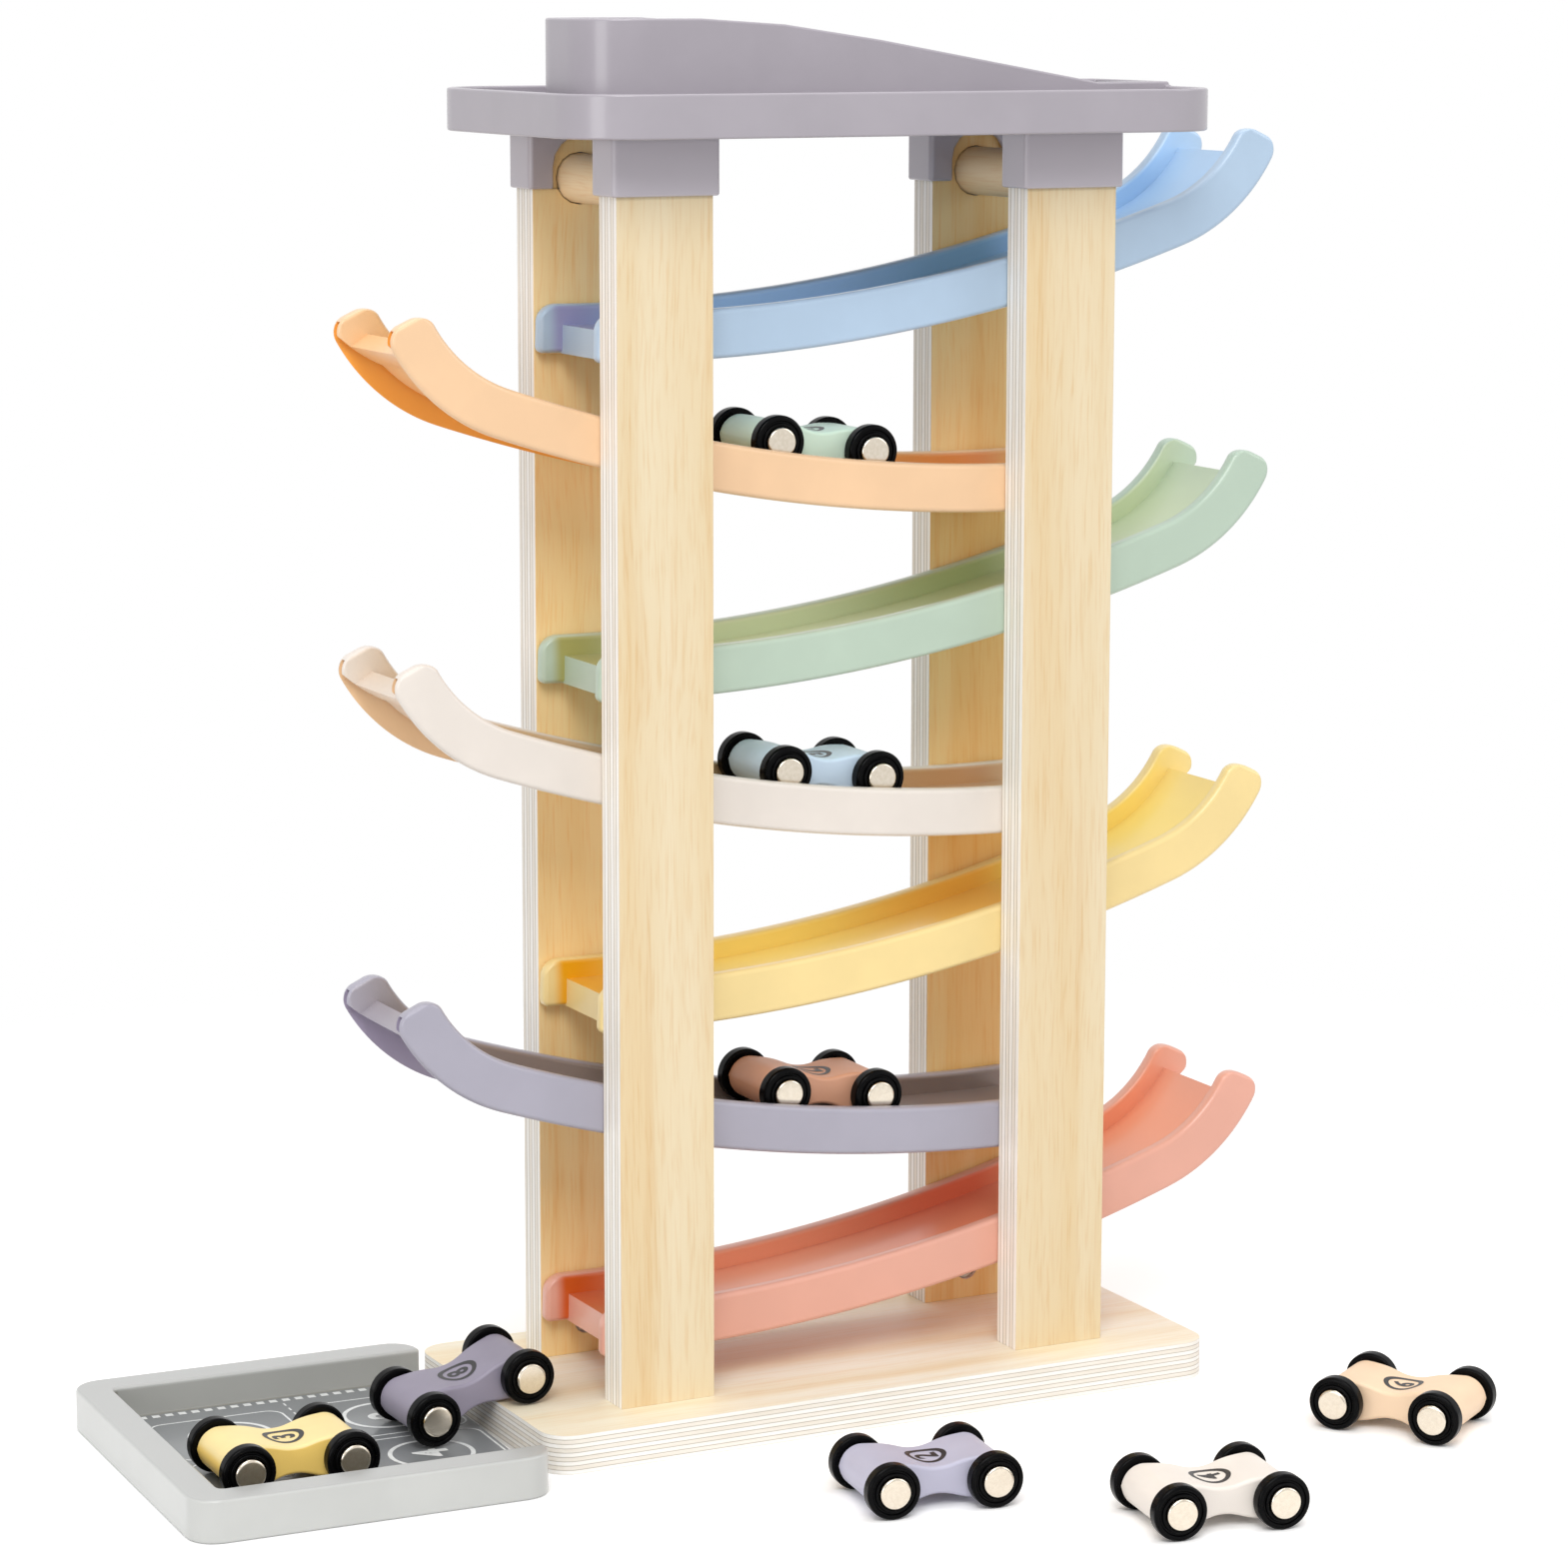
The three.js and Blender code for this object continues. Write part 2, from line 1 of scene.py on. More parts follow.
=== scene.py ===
# %% [markdown]
# A wooden car track: a plywood tower with seven moulded tracks, a launch tray on top, a parking tray beside
# it and eight small cars. The imported CAD model gives every place and size; this script gives the pieces
# their rounded edges, finer curves and finishes. The first step in any such scene is to load that frame.

# %% Load the frame
import json
import math

import bmesh
import bpy
import numpy as np
from mathutils import Matrix, Vector


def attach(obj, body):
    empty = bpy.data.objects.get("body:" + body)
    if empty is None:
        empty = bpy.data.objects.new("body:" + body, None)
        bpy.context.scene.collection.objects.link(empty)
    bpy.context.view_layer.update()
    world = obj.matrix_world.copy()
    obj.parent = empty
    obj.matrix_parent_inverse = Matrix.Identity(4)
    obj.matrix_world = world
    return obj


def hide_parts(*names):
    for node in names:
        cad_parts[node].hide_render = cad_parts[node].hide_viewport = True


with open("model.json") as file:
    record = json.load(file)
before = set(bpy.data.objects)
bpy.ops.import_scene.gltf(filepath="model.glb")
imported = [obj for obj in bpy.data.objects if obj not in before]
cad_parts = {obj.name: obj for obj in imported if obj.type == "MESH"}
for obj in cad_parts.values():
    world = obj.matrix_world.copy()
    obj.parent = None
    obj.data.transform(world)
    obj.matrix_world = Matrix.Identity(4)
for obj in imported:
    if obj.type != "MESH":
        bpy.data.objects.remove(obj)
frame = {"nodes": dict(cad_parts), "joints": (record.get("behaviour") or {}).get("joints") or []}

MM = 0.001
X_AXIS, Y_AXIS, Z_AXIS = range(3)
nodes = frame["nodes"]
joints = {joint["name"]: joint for joint in frame["joints"]}
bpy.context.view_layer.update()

# %% [markdown]
# Both shader trees and geometry trees are graphs of sockets. Clicking them together is slow to read back,
# so one small class wraps an output socket: arithmetic on it adds Math nodes, and one method adds any other
# node. The same class serves the shaders and the geometry trees.


# %% A wire that does arithmetic
class Wire:
    """An output socket of a node tree. Arithmetic on it adds Math nodes."""

    def __init__(self, tree, socket):
        self.tree = tree
        self.socket = socket

    def node(self, kind, settings=None, sockets=None, output=0):
        return add_node(self.tree, kind, settings, sockets, output)

    def math(self, operation, *values):
        return self.node("ShaderNodeMath", {"operation": operation}, dict(enumerate(values)))

    def of(self, function):
        """A function of this value alone, such as SINE."""
        return self.math(function, self)

    def __add__(self, other):
        return self.math("ADD", self, other)

    def __sub__(self, other):
        return self.math("SUBTRACT", self, other)

    def __rsub__(self, other):
        return self.math("SUBTRACT", other, self)

    def __mul__(self, other):
        return self.math("MULTIPLY", self, other)

    def __truediv__(self, other):
        return self.math("DIVIDE", self, other)

    def __rtruediv__(self, other):
        return self.math("DIVIDE", other, self)

    def __neg__(self):
        return self.math("MULTIPLY", self, -1.0)

    __radd__ = __add__
    __rmul__ = __mul__

    def least(self, other):
        return self.math("MINIMUM", self, other)

    def most(self, other):
        return self.math("MAXIMUM", self, other)

    def step(self, low, high):
        """A smooth rise from 0 at low to 1 at high."""
        sockets = {"Value": self, "From Min": low, "From Max": high}
        return self.node("ShaderNodeMapRange", {"interpolation_type": "SMOOTHSTEP"}, sockets)


def add_node(tree, kind, settings=None, sockets=None, output=0):
    """Adds a node and gives back one of its outputs as a wire, or the node itself for output None."""
    node = tree.nodes.new(kind)
    for name, value in (settings or {}).items():
        if name == "stops":
            fill_ramp(node.color_ramp, value)
        else:
            setattr(node, name, value)
    for name, value in (sockets or {}).items():
        targets = value if isinstance(value, list) else [value]
        for target in targets:
            if isinstance(target, Wire):
                tree.links.new(target.socket, node.inputs[name])
            else:
                node.inputs[name].default_value = target
    return node if output is None else Wire(tree, node.outputs[output])


def fill_ramp(ramp, stops):
    while len(ramp.elements) < len(stops):
        ramp.elements.new(1.0)
    for element, (place, colour) in zip(ramp.elements, stops):
        element.position = place
        element.color = colour


def tint(code):
    """A colour written as on screen, turned into the linear numbers that shaders use."""
    parts = [int(code[i:i + 2], 16) / 255 for i in (1, 3, 5)]
    return tuple(p / 12.92 if p <= 0.04045 else ((p + 0.055) / 1.055) ** 2.4 for p in parts) + (1.0,)


print("wire helper ready")

# %% [markdown]
# The camera repeats the photograph's. Its place and lens were solved from the straight edges of the board
# and posts: a long lens, about ten degrees above the horizon, looking in from the left.

# %% Camera
CAMERA_PLACE = Vector((-0.6493, -1.2560, 0.4359))
CAMERA_AZIMUTH = math.radians(-26.937)
CAMERA_ELEVATION = math.radians(9.829)
CAMERA_ROLL = math.radians(0.096)
CAMERA_NEAR = 0.01
CAMERA_FAR = 50.0
FOCAL_PIXELS = 4648.4
PHOTO_WIDTH = 1569
SENSOR = 36.0


def linked(name, data):
    """A new object with this data, linked to the scene."""
    thing = bpy.data.objects.new(name, data)
    bpy.context.scene.collection.objects.link(thing)
    return thing


def photo_camera():
    a, e = CAMERA_AZIMUTH, CAMERA_ELEVATION
    back = Vector((math.sin(a) * math.cos(e), -math.cos(a) * math.cos(e), math.sin(e)))
    right = Vector((math.cos(a), math.sin(a), 0.0))
    up = back.cross(right)
    across = math.cos(CAMERA_ROLL) * right + math.sin(CAMERA_ROLL) * up
    upward = math.cos(CAMERA_ROLL) * up - math.sin(CAMERA_ROLL) * right
    data = bpy.data.cameras.new("photo camera")
    data.sensor_width = SENSOR
    data.lens = SENSOR * FOCAL_PIXELS / PHOTO_WIDTH
    data.clip_start = CAMERA_NEAR
    data.clip_end = CAMERA_FAR
    turn = Matrix((across, upward, back)).transposed().to_4x4()
    camera = linked("photo camera", data)
    camera.matrix_world = Matrix.Translation(CAMERA_PLACE) @ turn
    bpy.context.scene.camera = camera
    return camera


camera = photo_camera()
print("camera lens", round(camera.data.lens, 2), "mm")

# %% [markdown]
# The studio is a white sheet and broad soft lamps. The floor must look white in the picture and still take
# the soft shadow, so its material is a little brighter for rays that come from the camera or from a mirror-
# like surface than for the light it passes on. Away from the object the sheet fades into the white room, so
# no horizon shows.

# %% Studio
FLOOR_HALF = 1.0
FLOOR_TRUE = 0.80
FLOOR_SEEN = 1.16
FLOOR_FADE = (0.30, 0.62)
SKY_SEEN = 1.0
SKY_LIGHT = 0.62
LAMPS = {
    "key": {"place": (-0.9, -1.6, 1.9), "aim_height": 0.2, "size": 1.2, "watts": 29},
    "fill": {"place": (1.7, -1.1, 1.2), "aim_height": 0.2, "size": 1.2, "watts": 9},
    "top": {"place": (0.1, 0.3, 2.2), "aim_height": 0.2, "size": 1.4, "watts": 12},
    "side": {"place": (-1.7, -0.78, 0.40), "aim_height": 0.30, "size": 0.7, "watts": 5.8},
}


def new_material(name):
    material = bpy.data.materials.new(name)
    material.use_nodes = True
    tree = material.node_tree
    tree.nodes.clear()
    return material, tree


def xyz_of(vector):
    """The three parts of a vector, as wires."""
    node = vector.node("ShaderNodeSeparateXYZ", None, {0: vector}, None)
    return [Wire(vector.tree, node.outputs[axis]) for axis in (X_AXIS, Y_AXIS, Z_AXIS)]


def object_place(tree):
    place = add_node(tree, "ShaderNodeTexCoord", None, None, "Object")
    return place, xyz_of(place)


def seen_directly(tree):
    path = add_node(tree, "ShaderNodeLightPath", output=None)
    names = ("Is Camera Ray", "Is Glossy Ray", "Is Transmission Ray")
    camera_ray, glossy_ray, passing_ray = [Wire(tree, path.outputs[name]) for name in names]
    return camera_ray.most(glossy_ray).most(passing_ray)


def studio_floor():
    half = FLOOR_HALF
    mesh = bpy.data.meshes.new("studio_floor")
    corners = [(-half, -half, 0), (half, -half, 0), (half, half, 0), (-half, half, 0)]
    mesh.from_pydata(corners, [], [(0, 1, 2, 3)])
    floor = linked("studio_floor", mesh)
    material, tree = new_material("white sheet")
    seen = seen_directly(tree)
    level = FLOOR_TRUE + seen * (FLOOR_SEEN - FLOOR_TRUE)
    colour = level.node("ShaderNodeCombineColor", None, {0: level, 1: level, 2: level})
    sheet = colour.node("ShaderNodeBsdfDiffuse", None, {"Color": colour})
    place, _ = object_place(tree)
    distance = place.node("ShaderNodeVectorMath", {"operation": "LENGTH"}, {0: place}, "Value")
    room = place.node("ShaderNodeBsdfTransparent")
    faded = place.node("ShaderNodeMixShader", None, {0: distance.step(*FLOOR_FADE), 1: sheet, 2: room})
    faded.node("ShaderNodeOutputMaterial", None, {"Surface": faded}, None)
    mesh.materials.append(material)


def sky():
    world = bpy.data.worlds.new("soft room")
    world.use_nodes = True
    tree = world.node_tree
    tree.nodes.clear()
    seen = seen_directly(tree)
    strength = SKY_LIGHT + seen * (SKY_SEEN - SKY_LIGHT)
    light = strength.node("ShaderNodeBackground", None, {"Color": (1, 1, 1, 1), "Strength": strength})
    light.node("ShaderNodeOutputWorld", None, {"Surface": light}, None)
    bpy.context.scene.world = world


def lamp(name, place, aim_height, size, watts):
    """A square soft lamp that points at a height on the tower's axis."""
    data = bpy.data.lights.new(name, "AREA")
    data.shape = "RECTANGLE"
    data.size = size
    data.size_y = size
    data.energy = watts
    light = linked(name, data)
    light.location = place
    aim = Vector((0, 0, aim_height)) - Vector(place)
    light.rotation_euler = aim.to_track_quat("-Z", "Y").to_euler()


studio_floor()
sky()
for name, settings in LAMPS.items():
    lamp(name, **settings)
bpy.context.scene.view_settings.view_transform = "Standard"
print("studio lit by", len(LAMPS), "lamps")

# %% [markdown]
# Birch plywood has a pale honey face with long quiet grain. The grain is noise drawn out along the fibre:
# broad soft bands, a few narrow streaks and fine pores. A little swing from side to side keeps it from
# being straight.

# %% Wood grain
# For each kind of grain: how fine it is across the fibre and along it, and how much detail it has.
BROAD_BANDS = (62.0, 2.2, 2.0)
STREAKS = (260.0, 5.0, 3.0)
PORES = (1300.0, 60.0, 2.0)
FIBRE_ROUGHNESS = 0.5
BAND_STOPS = (0.34, 0.46, 0.62)
STREAK_EDGES = (0.54, 0.72)
STREAK_DEPTH = 0.22
PORE_EDGES = (0.45, 0.75)
PORE_DEPTH = 0.30
SWING_SCALE = 10.0
SWING = 7 * MM
WOOD_ROUGHNESS = (0.44, 0.16)
PORE_HEIGHT = 0.6


def stretched_noise(place, scale, detail, roughness=0.55, offset=(0, 0, 0)):
    sockets = {"Vector": place, "Scale": tuple(scale), "Location": offset}
    mapped = place.node("ShaderNodeMapping", None, sockets)
    sockets = {"Vector": mapped, "Scale": 1.0, "Detail": detail, "Roughness": roughness}
    return mapped.node("ShaderNodeTexNoise", None, sockets)


def even_noise(place, scale, detail):
    return stretched_noise(place, (scale, scale, scale), detail)


def blend_colour(factor, first, second, mode="MIX"):
    node = factor.node("ShaderNodeMix", {"data_type": "RGBA", "blend_type": mode}, None, None)
    for index, value in ((0, factor), (6, first), (7, second)):
        if isinstance(value, Wire):
            factor.tree.links.new(value.socket, node.inputs[index])
        else:
            node.inputs[index].default_value = value
    return Wire(factor.tree, node.outputs[2])


def ramp_colour(factor, places, codes):
    stops = [(at, tint(code)) for at, code in zip(places, codes)]
    return factor.node("ShaderNodeValToRGB", {"stops": stops}, {"Fac": factor})


def fibre(place, along, offset, across, length, detail):
    scale = [across] * 3
    scale[along] = length
    return stretched_noise(place, scale, detail, FIBRE_ROUGHNESS, offset)


def wandering(place, along):
    """The same place, swung from side to side along the fibre, so that the grain is never quite straight."""
    swing = (even_noise(place, SWING_SCALE, 1.5) - 0.5) * SWING
    shift = swing.node("ShaderNodeCombineXYZ", None, {i: swing for i in range(3) if i != along})
    return place.node("ShaderNodeVectorMath", {"operation": "ADD"}, {0: place, 1: shift})


def grain(place, along, tones, offset):
    """The colour of a wood face, its roughness and its height."""
    place = wandering(place, along)
    broad = fibre(place, along, offset, *BROAD_BANDS)
    streak = fibre(place, along, offset, *STREAKS)
    pores = fibre(place, along, offset, *PORES)
    face = ramp_colour(broad, BAND_STOPS, tones[:3])
    face = blend_colour(streak.step(*STREAK_EDGES) * STREAK_DEPTH, face, tint(tones[3]), "MULTIPLY")
    face = blend_colour(pores.step(*PORE_EDGES) * PORE_DEPTH, face, tint(tones[3]), "MULTIPLY")
    least, spread = WOOD_ROUGHNESS
    return face, least + broad * spread, pores * PORE_HEIGHT + streak * (1.0 - PORE_HEIGHT)


print("wood grain ready")

# %% [markdown]
# On its cut edge, plywood shows pale plies that meet in thin darker glue lines. A picture of an edge would
# have to be fitted to every piece, so the material reads the direction of the face to tell face from edge,
# and counts the plies from the place in the board. The dowels are solid birch, with the same grain.

# %% Birch plywood and dowels
# For each kind of piece: three tones for the broad bands, then one for the streaks and pores.
POST_TONES = ["#e2ca9f", "#e4d0aa", "#e7d6b4", "#ebca96"]
# The back posts' tones are warmer and more saturated than the front posts': painted shade and bounce light on
# the faces inside the tower.
SHADED_TONES = ["#f6cb84", "#fcdb9c", "#ffe4ac", "#f4c982"]
BOARD_TONES = ["#efdcb8", "#f4e9cf", "#f8f2e0", "#f2deba"]
DOWEL_TONES = ["#efcb98", "#f5d7a9", "#fae2bb", "#eac793"]
# Where each kind of piece is cut from the noise, so that no two kinds show the same grain.
FRONT_OFFSET = (0.0, 0.0, 0.0)
BACK_OFFSET = (0.31, 0.0, 0.2)
BOARD_OFFSET = (0.13, 0.4, 0.0)
DOWEL_OFFSET = (0.0, 0.0, 0.7)
BOARD_THICKNESS = 12 * MM
BOARD_PLIES = 9
POST_PLIES = 6
POST_GAP = 47.4 * MM
PALE_PLY = ("#f8f3ea", "#fefcf8")
DARK_PLY = ("#ece4d7", "#f6f0e6")
GLUE_TINT = "#ac9f8f"
GLUE_EDGES = (0.02, 0.12)
CUT_FIBRE = (700.0, 60.0, 3.0)
CUT_STOPS = (0.3, 0.7)
FACE_EDGES = (0.45, 0.75)
WOOD_RELIEF = (0.12, 0.3 * MM)
WOOD_COAT = {"Coat Weight": 0.1, "Coat Roughness": 0.3}


def face_normal(tree):
    return xyz_of(add_node(tree, "ShaderNodeNewGeometry", None, None, "Normal"))


def surface(tree, colour, roughness, relief=None, fixed=None):
    """The usual shader. relief is a height, with the strength and depth of the bumps it makes."""
    sockets = {"Base Color": colour, "Roughness": roughness}
    if relief is not None:
        height, strength, depth = relief
        bumps = {"Height": height, "Strength": strength, "Distance": depth}
        sockets["Normal"] = height.node("ShaderNodeBump", None, bumps)
    sockets.update(fixed or {})
    shader = add_node(tree, "ShaderNodeBsdfPrincipled", None, sockets)
    shader.node("ShaderNodeOutputMaterial", None, {"Surface": shader}, None)


def plywood(name, along, stacked, plies, low, tones, offset):
    """along is the grain's axis, stacked the axis of the plies, and low where their stack starts."""
    material, tree = new_material(name)
    place, axes = object_place(tree)
    face, rough, height = grain(place, along, tones, offset)
    layer = (axes[stacked] - low) / (BOARD_THICKNESS / plies)
    odd = layer.math("FLOORED_MODULO", layer.of("FLOOR"), 2.0)
    within = layer.of("FRACT") - 0.5
    glue = (0.5 - within.of("ABSOLUTE")).step(*GLUE_EDGES)
    cut = fibre(place, along, offset, *CUT_FIBRE)
    pale = ramp_colour(cut, CUT_STOPS, PALE_PLY)
    dark = ramp_colour(cut, CUT_STOPS, DARK_PLY)
    plied = blend_colour(glue, tint(GLUE_TINT), blend_colour(odd, pale, dark))
    facing = face_normal(tree)[stacked].of("ABSOLUTE")
    colour = blend_colour(facing.step(*FACE_EDGES), plied, face)
    surface(tree, colour, rough, (height, *WOOD_RELIEF), WOOD_COAT)
    return material


def solid_wood(name, along, tones, offset):
    material, tree = new_material(name)
    place, _ = object_place(tree)
    face, rough, height = grain(place, along, tones, offset)
    surface(tree, face, rough, (height, *WOOD_RELIEF), WOOD_COAT)
    return material


front_low = -POST_GAP / 2 - BOARD_THICKNESS
back_low = POST_GAP / 2
post_front_wood = plywood("birch post", Z_AXIS, Y_AXIS, POST_PLIES, front_low, POST_TONES, FRONT_OFFSET)
post_back_painted_shade_wood = plywood("birch back post", Z_AXIS, Y_AXIS, POST_PLIES, back_low, SHADED_TONES, BACK_OFFSET)
board_wood = plywood("birch board", X_AXIS, Z_AXIS, BOARD_PLIES, 0.0, BOARD_TONES, BOARD_OFFSET)
dowel_wood = solid_wood("birch dowel", Y_AXIS, DOWEL_TONES, DOWEL_OFFSET)
print("plywood finishes ready, plies of", BOARD_THICKNESS / POST_PLIES, "m in the posts")

# %% [markdown]
# The moulded pieces are satin plastic. A perfectly even colour looks like a drawing, so the colour drifts a
# little, the gloss has faint clouds and the surface a very fine orange-peel.

# %% Moulded plastic
CLOUD_SCALE = 38.0
CLOUD_EDGES = (0.35, 0.7)
DRIFT = 0.95
PEEL_SCALE = 1500.0
PEEL_RELIEF = (0.05, 0.05 * MM)
SATIN_ROUGHNESS = (0.26, 0.08)
TRACK_COAT = 0.15
COAT_ROUGHNESS = 0.12


def dimmed(colour, share):
    return tuple(part * share for part in colour[:3]) + (1.0,)


def drifting(place, colour):
    """A colour that drifts a little, and a roughness and height to go with it."""
    cloud = even_noise(place, CLOUD_SCALE, 3.0)
    peel = even_noise(place, PEEL_SCALE, 1.0)
    least, spread = SATIN_ROUGHNESS
    drift = blend_colour(cloud.step(*CLOUD_EDGES), dimmed(colour, DRIFT), colour)
    return drift, least + cloud * spread, peel


def satin(tree, colour, roughness, peel, coat=TRACK_COAT):
    gloss = {"Coat Weight": coat, "Coat Roughness": COAT_ROUGHNESS}
    surface(tree, colour, roughness, (peel, *PEEL_RELIEF), gloss)


print("satin plastic ready")

# %% [markdown]
# Thin coloured plastic looks deeper where light bounces inside it and where shade falls, and this is painted
# into its colour. So each track has four tints: its own colour outside, a painted shade for the channel,
# another for the channel near the nose, where it lies in the shade of a post, and a painted shade for the
# hollow underside. The direction of a face tells the channel. Two attributes that the geometry tree stores
# tell the rest: hollow marks the faces of the underside, and reach is the distance along the track, over
# which the channel's painted shade fades at the tip and deepens at the nose. A soft painted shade lies
# beside the back post as well.

# %% Track finishes
# For each track: its own colour outside, then the painted shade of the channel, of the channel near the nose,
# and of the hollow.
TRACK_TINTS_AND_SHADES = {
    "coral": ("#e6a995", "#f4a07c", "#ce5a1a", "#ff8d60"),
    "lavender": ("#a9a6b4", "#95867f", "#95867f", "#a399b0"),
    "yellow": ("#f4da98", "#ffe27a", "#eba810", "#ffcf4a"),
    "cream": ("#e7ded5", "#d3b58f", "#d3b58f", "#f2cda2"),
    "green": ("#bacdbb", "#cedcb4", "#a8a866", "#bddc9c"),
    "orange": ("#f2caa0", "#e6b06a", "#e6b06a", "#ffb04f"),
    "blue": ("#b3cae1", "#b4daff", "#9a9dc7", "#93cdf8"),
}
CHANNEL_HALF = 18.6 * MM
CHANNEL_SOFT = 0.2 * MM
# Distances along the track between which a shade comes or goes.
TIP_FADE = (122 * MM, 152 * MM)
NOSE_SHADE = (-74 * MM, -46 * MM)
NOSE_ROUND = (-81.5 * MM, -77 * MM)
# Places along the tower's length between which the shade of the back post comes and goes.
POST_NEAR = (5 * MM, 62 * MM)
POST_PAST = (66 * MM, 84 * MM)
POST_SHADE_TONE = "#ecd8b0"
POST_SHADE_DEPTH = 0.55
# How far a face has to turn before it counts as floor, inside of a rail, or wall of the hollow.
FLOOR_FACING = (0.1, 0.4)
RAIL_FACING = (0.55, 0.95)
WALL_FACING = (0.2, 0.7)
# How strong the painted shade is on the channel floor, how much of it fades at the tip, and its least share
# in the hollow on faces that are not upright.
FLOOR_SHADE_DEPTH = 0.85
TIP_DEPTH = 0.85
HOLLOW_LEAST = 0.35


def attribute(tree, name):
    return add_node(tree, "ShaderNodeAttribute", {"attribute_name": name}, None, "Fac")


def track_plastic(name, outside, channel, nose, hollow):
    material, tree = new_material(name)
    place, (x, y, _) = object_place(tree)
    normal = face_normal(tree)
    reach = attribute(tree, "reach")
    colour, rough, peel = drifting(place, tint(outside))
    inward = -(normal[Y_AXIS] * y.of("SIGN"))
    between = 1.0 - y.of("ABSOLUTE").step(CHANNEL_HALF - CHANNEL_SOFT, CHANNEL_HALF + CHANNEL_SOFT)
    floor = between * normal[Z_AXIS].step(*FLOOR_FACING)
    # Painted shade for the channel, turning to a deeper painted shade towards the nose.
    shaded = blend_colour(reach.step(*NOSE_SHADE), tint(nose), tint(channel))
    # Painted shade beside the back post: a warm, deeper multiply of the track's colour.
    post_shade_mask = x.step(*POST_NEAR) * (1.0 - x.step(*POST_PAST))
    shadow = tuple(a * b for a, b in zip(tint(hollow), tint(POST_SHADE_TONE)))
    shaded = blend_colour(post_shade_mask * POST_SHADE_DEPTH, shaded, shadow, "MULTIPLY")
    # The channel's painted shade lies on the rails' inner faces and on the floor, and fades at the tip.
    channel_shade = inward.step(*RAIL_FACING).most(floor * FLOOR_SHADE_DEPTH)
    channel_shade = channel_shade * (1.0 - reach.step(*TIP_FADE) * TIP_DEPTH) * reach.step(*NOSE_ROUND)
    colour = blend_colour(channel_shade, colour, shaded)
    # Painted shade in the hollow underside, strongest on its upright walls.
    upright = normal[Y_AXIS].of("ABSOLUTE").step(*WALL_FACING)
    under = attribute(tree, "hollow") * (HOLLOW_LEAST + upright * (1.0 - HOLLOW_LEAST))
    colour = blend_colour(under, colour, tint(hollow))
    satin(tree, colour, rough, peel)
    return material


track_finish = {name: track_plastic("track plastic " + name, *tints) for name, tints in TRACK_TINTS_AND_SHADES.items()}
print("track finishes:", len(track_finish))

# %% [markdown]
# A track is a rule made solid: a long shallow arc that runs into a short steep one, with the same section
# all the way. That suits Geometry Nodes. A line of points is bent along the two arcs, a rounded section is
# swept along it for each rail and for the floor, and Boolean nodes join them and cut the hollow underside
# and the slits in the rails. First come the sizes.

# %% Track sizes
RUN_RADIUS = 570 * MM
LOW_POINT = -66 * MM
CATCH_START = 116 * MM
CATCH_RADIUS = 58 * MM
TIP_ANGLE = math.radians(66)
TRACK_WIDTH = 46.8 * MM
RAIL_HEIGHT = 14.8 * MM
RAIL_WIDTH = 4.8 * MM
CHANNEL_DEPTH = 6.2 * MM
PLASTIC_WALL = 2 * MM
RAIL_REACH = 84 * MM
FLOOR_SETBACK = 7.5 * MM
LIP_SETBACK = 7.6 * MM
RAIL_WALL = 1.5 * MM
RAIL_SLIT = 2.2 * MM
SLIT_SETBACK = 0.8 * MM
NOSE_RADIUS = 6 * MM
FOOT_RADIUS = 2 * MM
TIP_RADIUS = 6 * MM
RAIL_EDGE = 1.6 * MM
HOLLOW_FULL = math.radians(45)
HOLLOW_END = math.radians(63)
FLOOR_RISE = RAIL_HEIGHT - CHANNEL_DEPTH
JOIN_ANGLE = math.asin((CATCH_START - LOW_POINT) / RUN_RADIUS)
LOW_ANGLE = math.asin((-RAIL_REACH - LOW_POINT) / RUN_RADIUS)
FLOOR_ANGLE = math.asin((FLOOR_SETBACK - RAIL_REACH - LOW_POINT) / RUN_RADIUS)
LIP_ANGLE = TIP_ANGLE - LIP_SETBACK / (CATCH_RADIUS - FLOOR_RISE)
SLIT_END = TIP_ANGLE - SLIT_SETBACK / CATCH_RADIUS
TRACK_ORDER = ["coral", "lavender", "yellow", "cream", "green", "orange", "blue"]
TRACK_BASE = 24.4 * MM
TRACK_PITCH = 50.1 * MM
arcs = [round(math.degrees(angle), 1) for angle in (JOIN_ANGLE - LOW_ANGLE, TIP_ANGLE - JOIN_ANGLE)]
print("track arc", arcs[0], "degrees, then", arcs[1])

# %% [markdown]
# Every part of a track is a bar along the same two arcs. A Curve to Mesh node alone would give blunt ends,
# so each point keeps notes of where it lies along, above and across the bar, and these tell how far to draw
# it in.

# %% Geometry tree of a swept bar
# How much closer the points of a sweep lie at its ends: 0 for evenly spaced.
EASE = 0.88
FILLET_POINTS = 4
SWEEP_NOTES = ("along", "lean", "rise", "side")


def group_sizes(tree, sizes):
    """Named inputs with their usual sizes, as wires."""
    for name, value in sizes.items():
        kind = "NodeSocketMaterial" if value is None else "NodeSocketFloat"
        socket = tree.interface.new_socket(name, in_out="INPUT", socket_type=kind)
        if value is not None:
            socket.default_value = value
    tree.interface.new_socket("Geometry", in_out="OUTPUT", socket_type="NodeSocketGeometry")
    source = tree.nodes.new("NodeGroupInput")
    return {name: Wire(tree, source.outputs[name]) for name in sizes}


def named_value(tree, name):
    return add_node(tree, "GeometryNodeInputNamedAttribute", {"data_type": "FLOAT"}, {"Name": name})


def stored(geometry, name, value, domain="POINT"):
    sockets = {"Geometry": geometry, "Name": name, "Value": value}
    return geometry.node("GeometryNodeStoreNamedAttribute", {"data_type": "FLOAT", "domain": domain}, sockets)


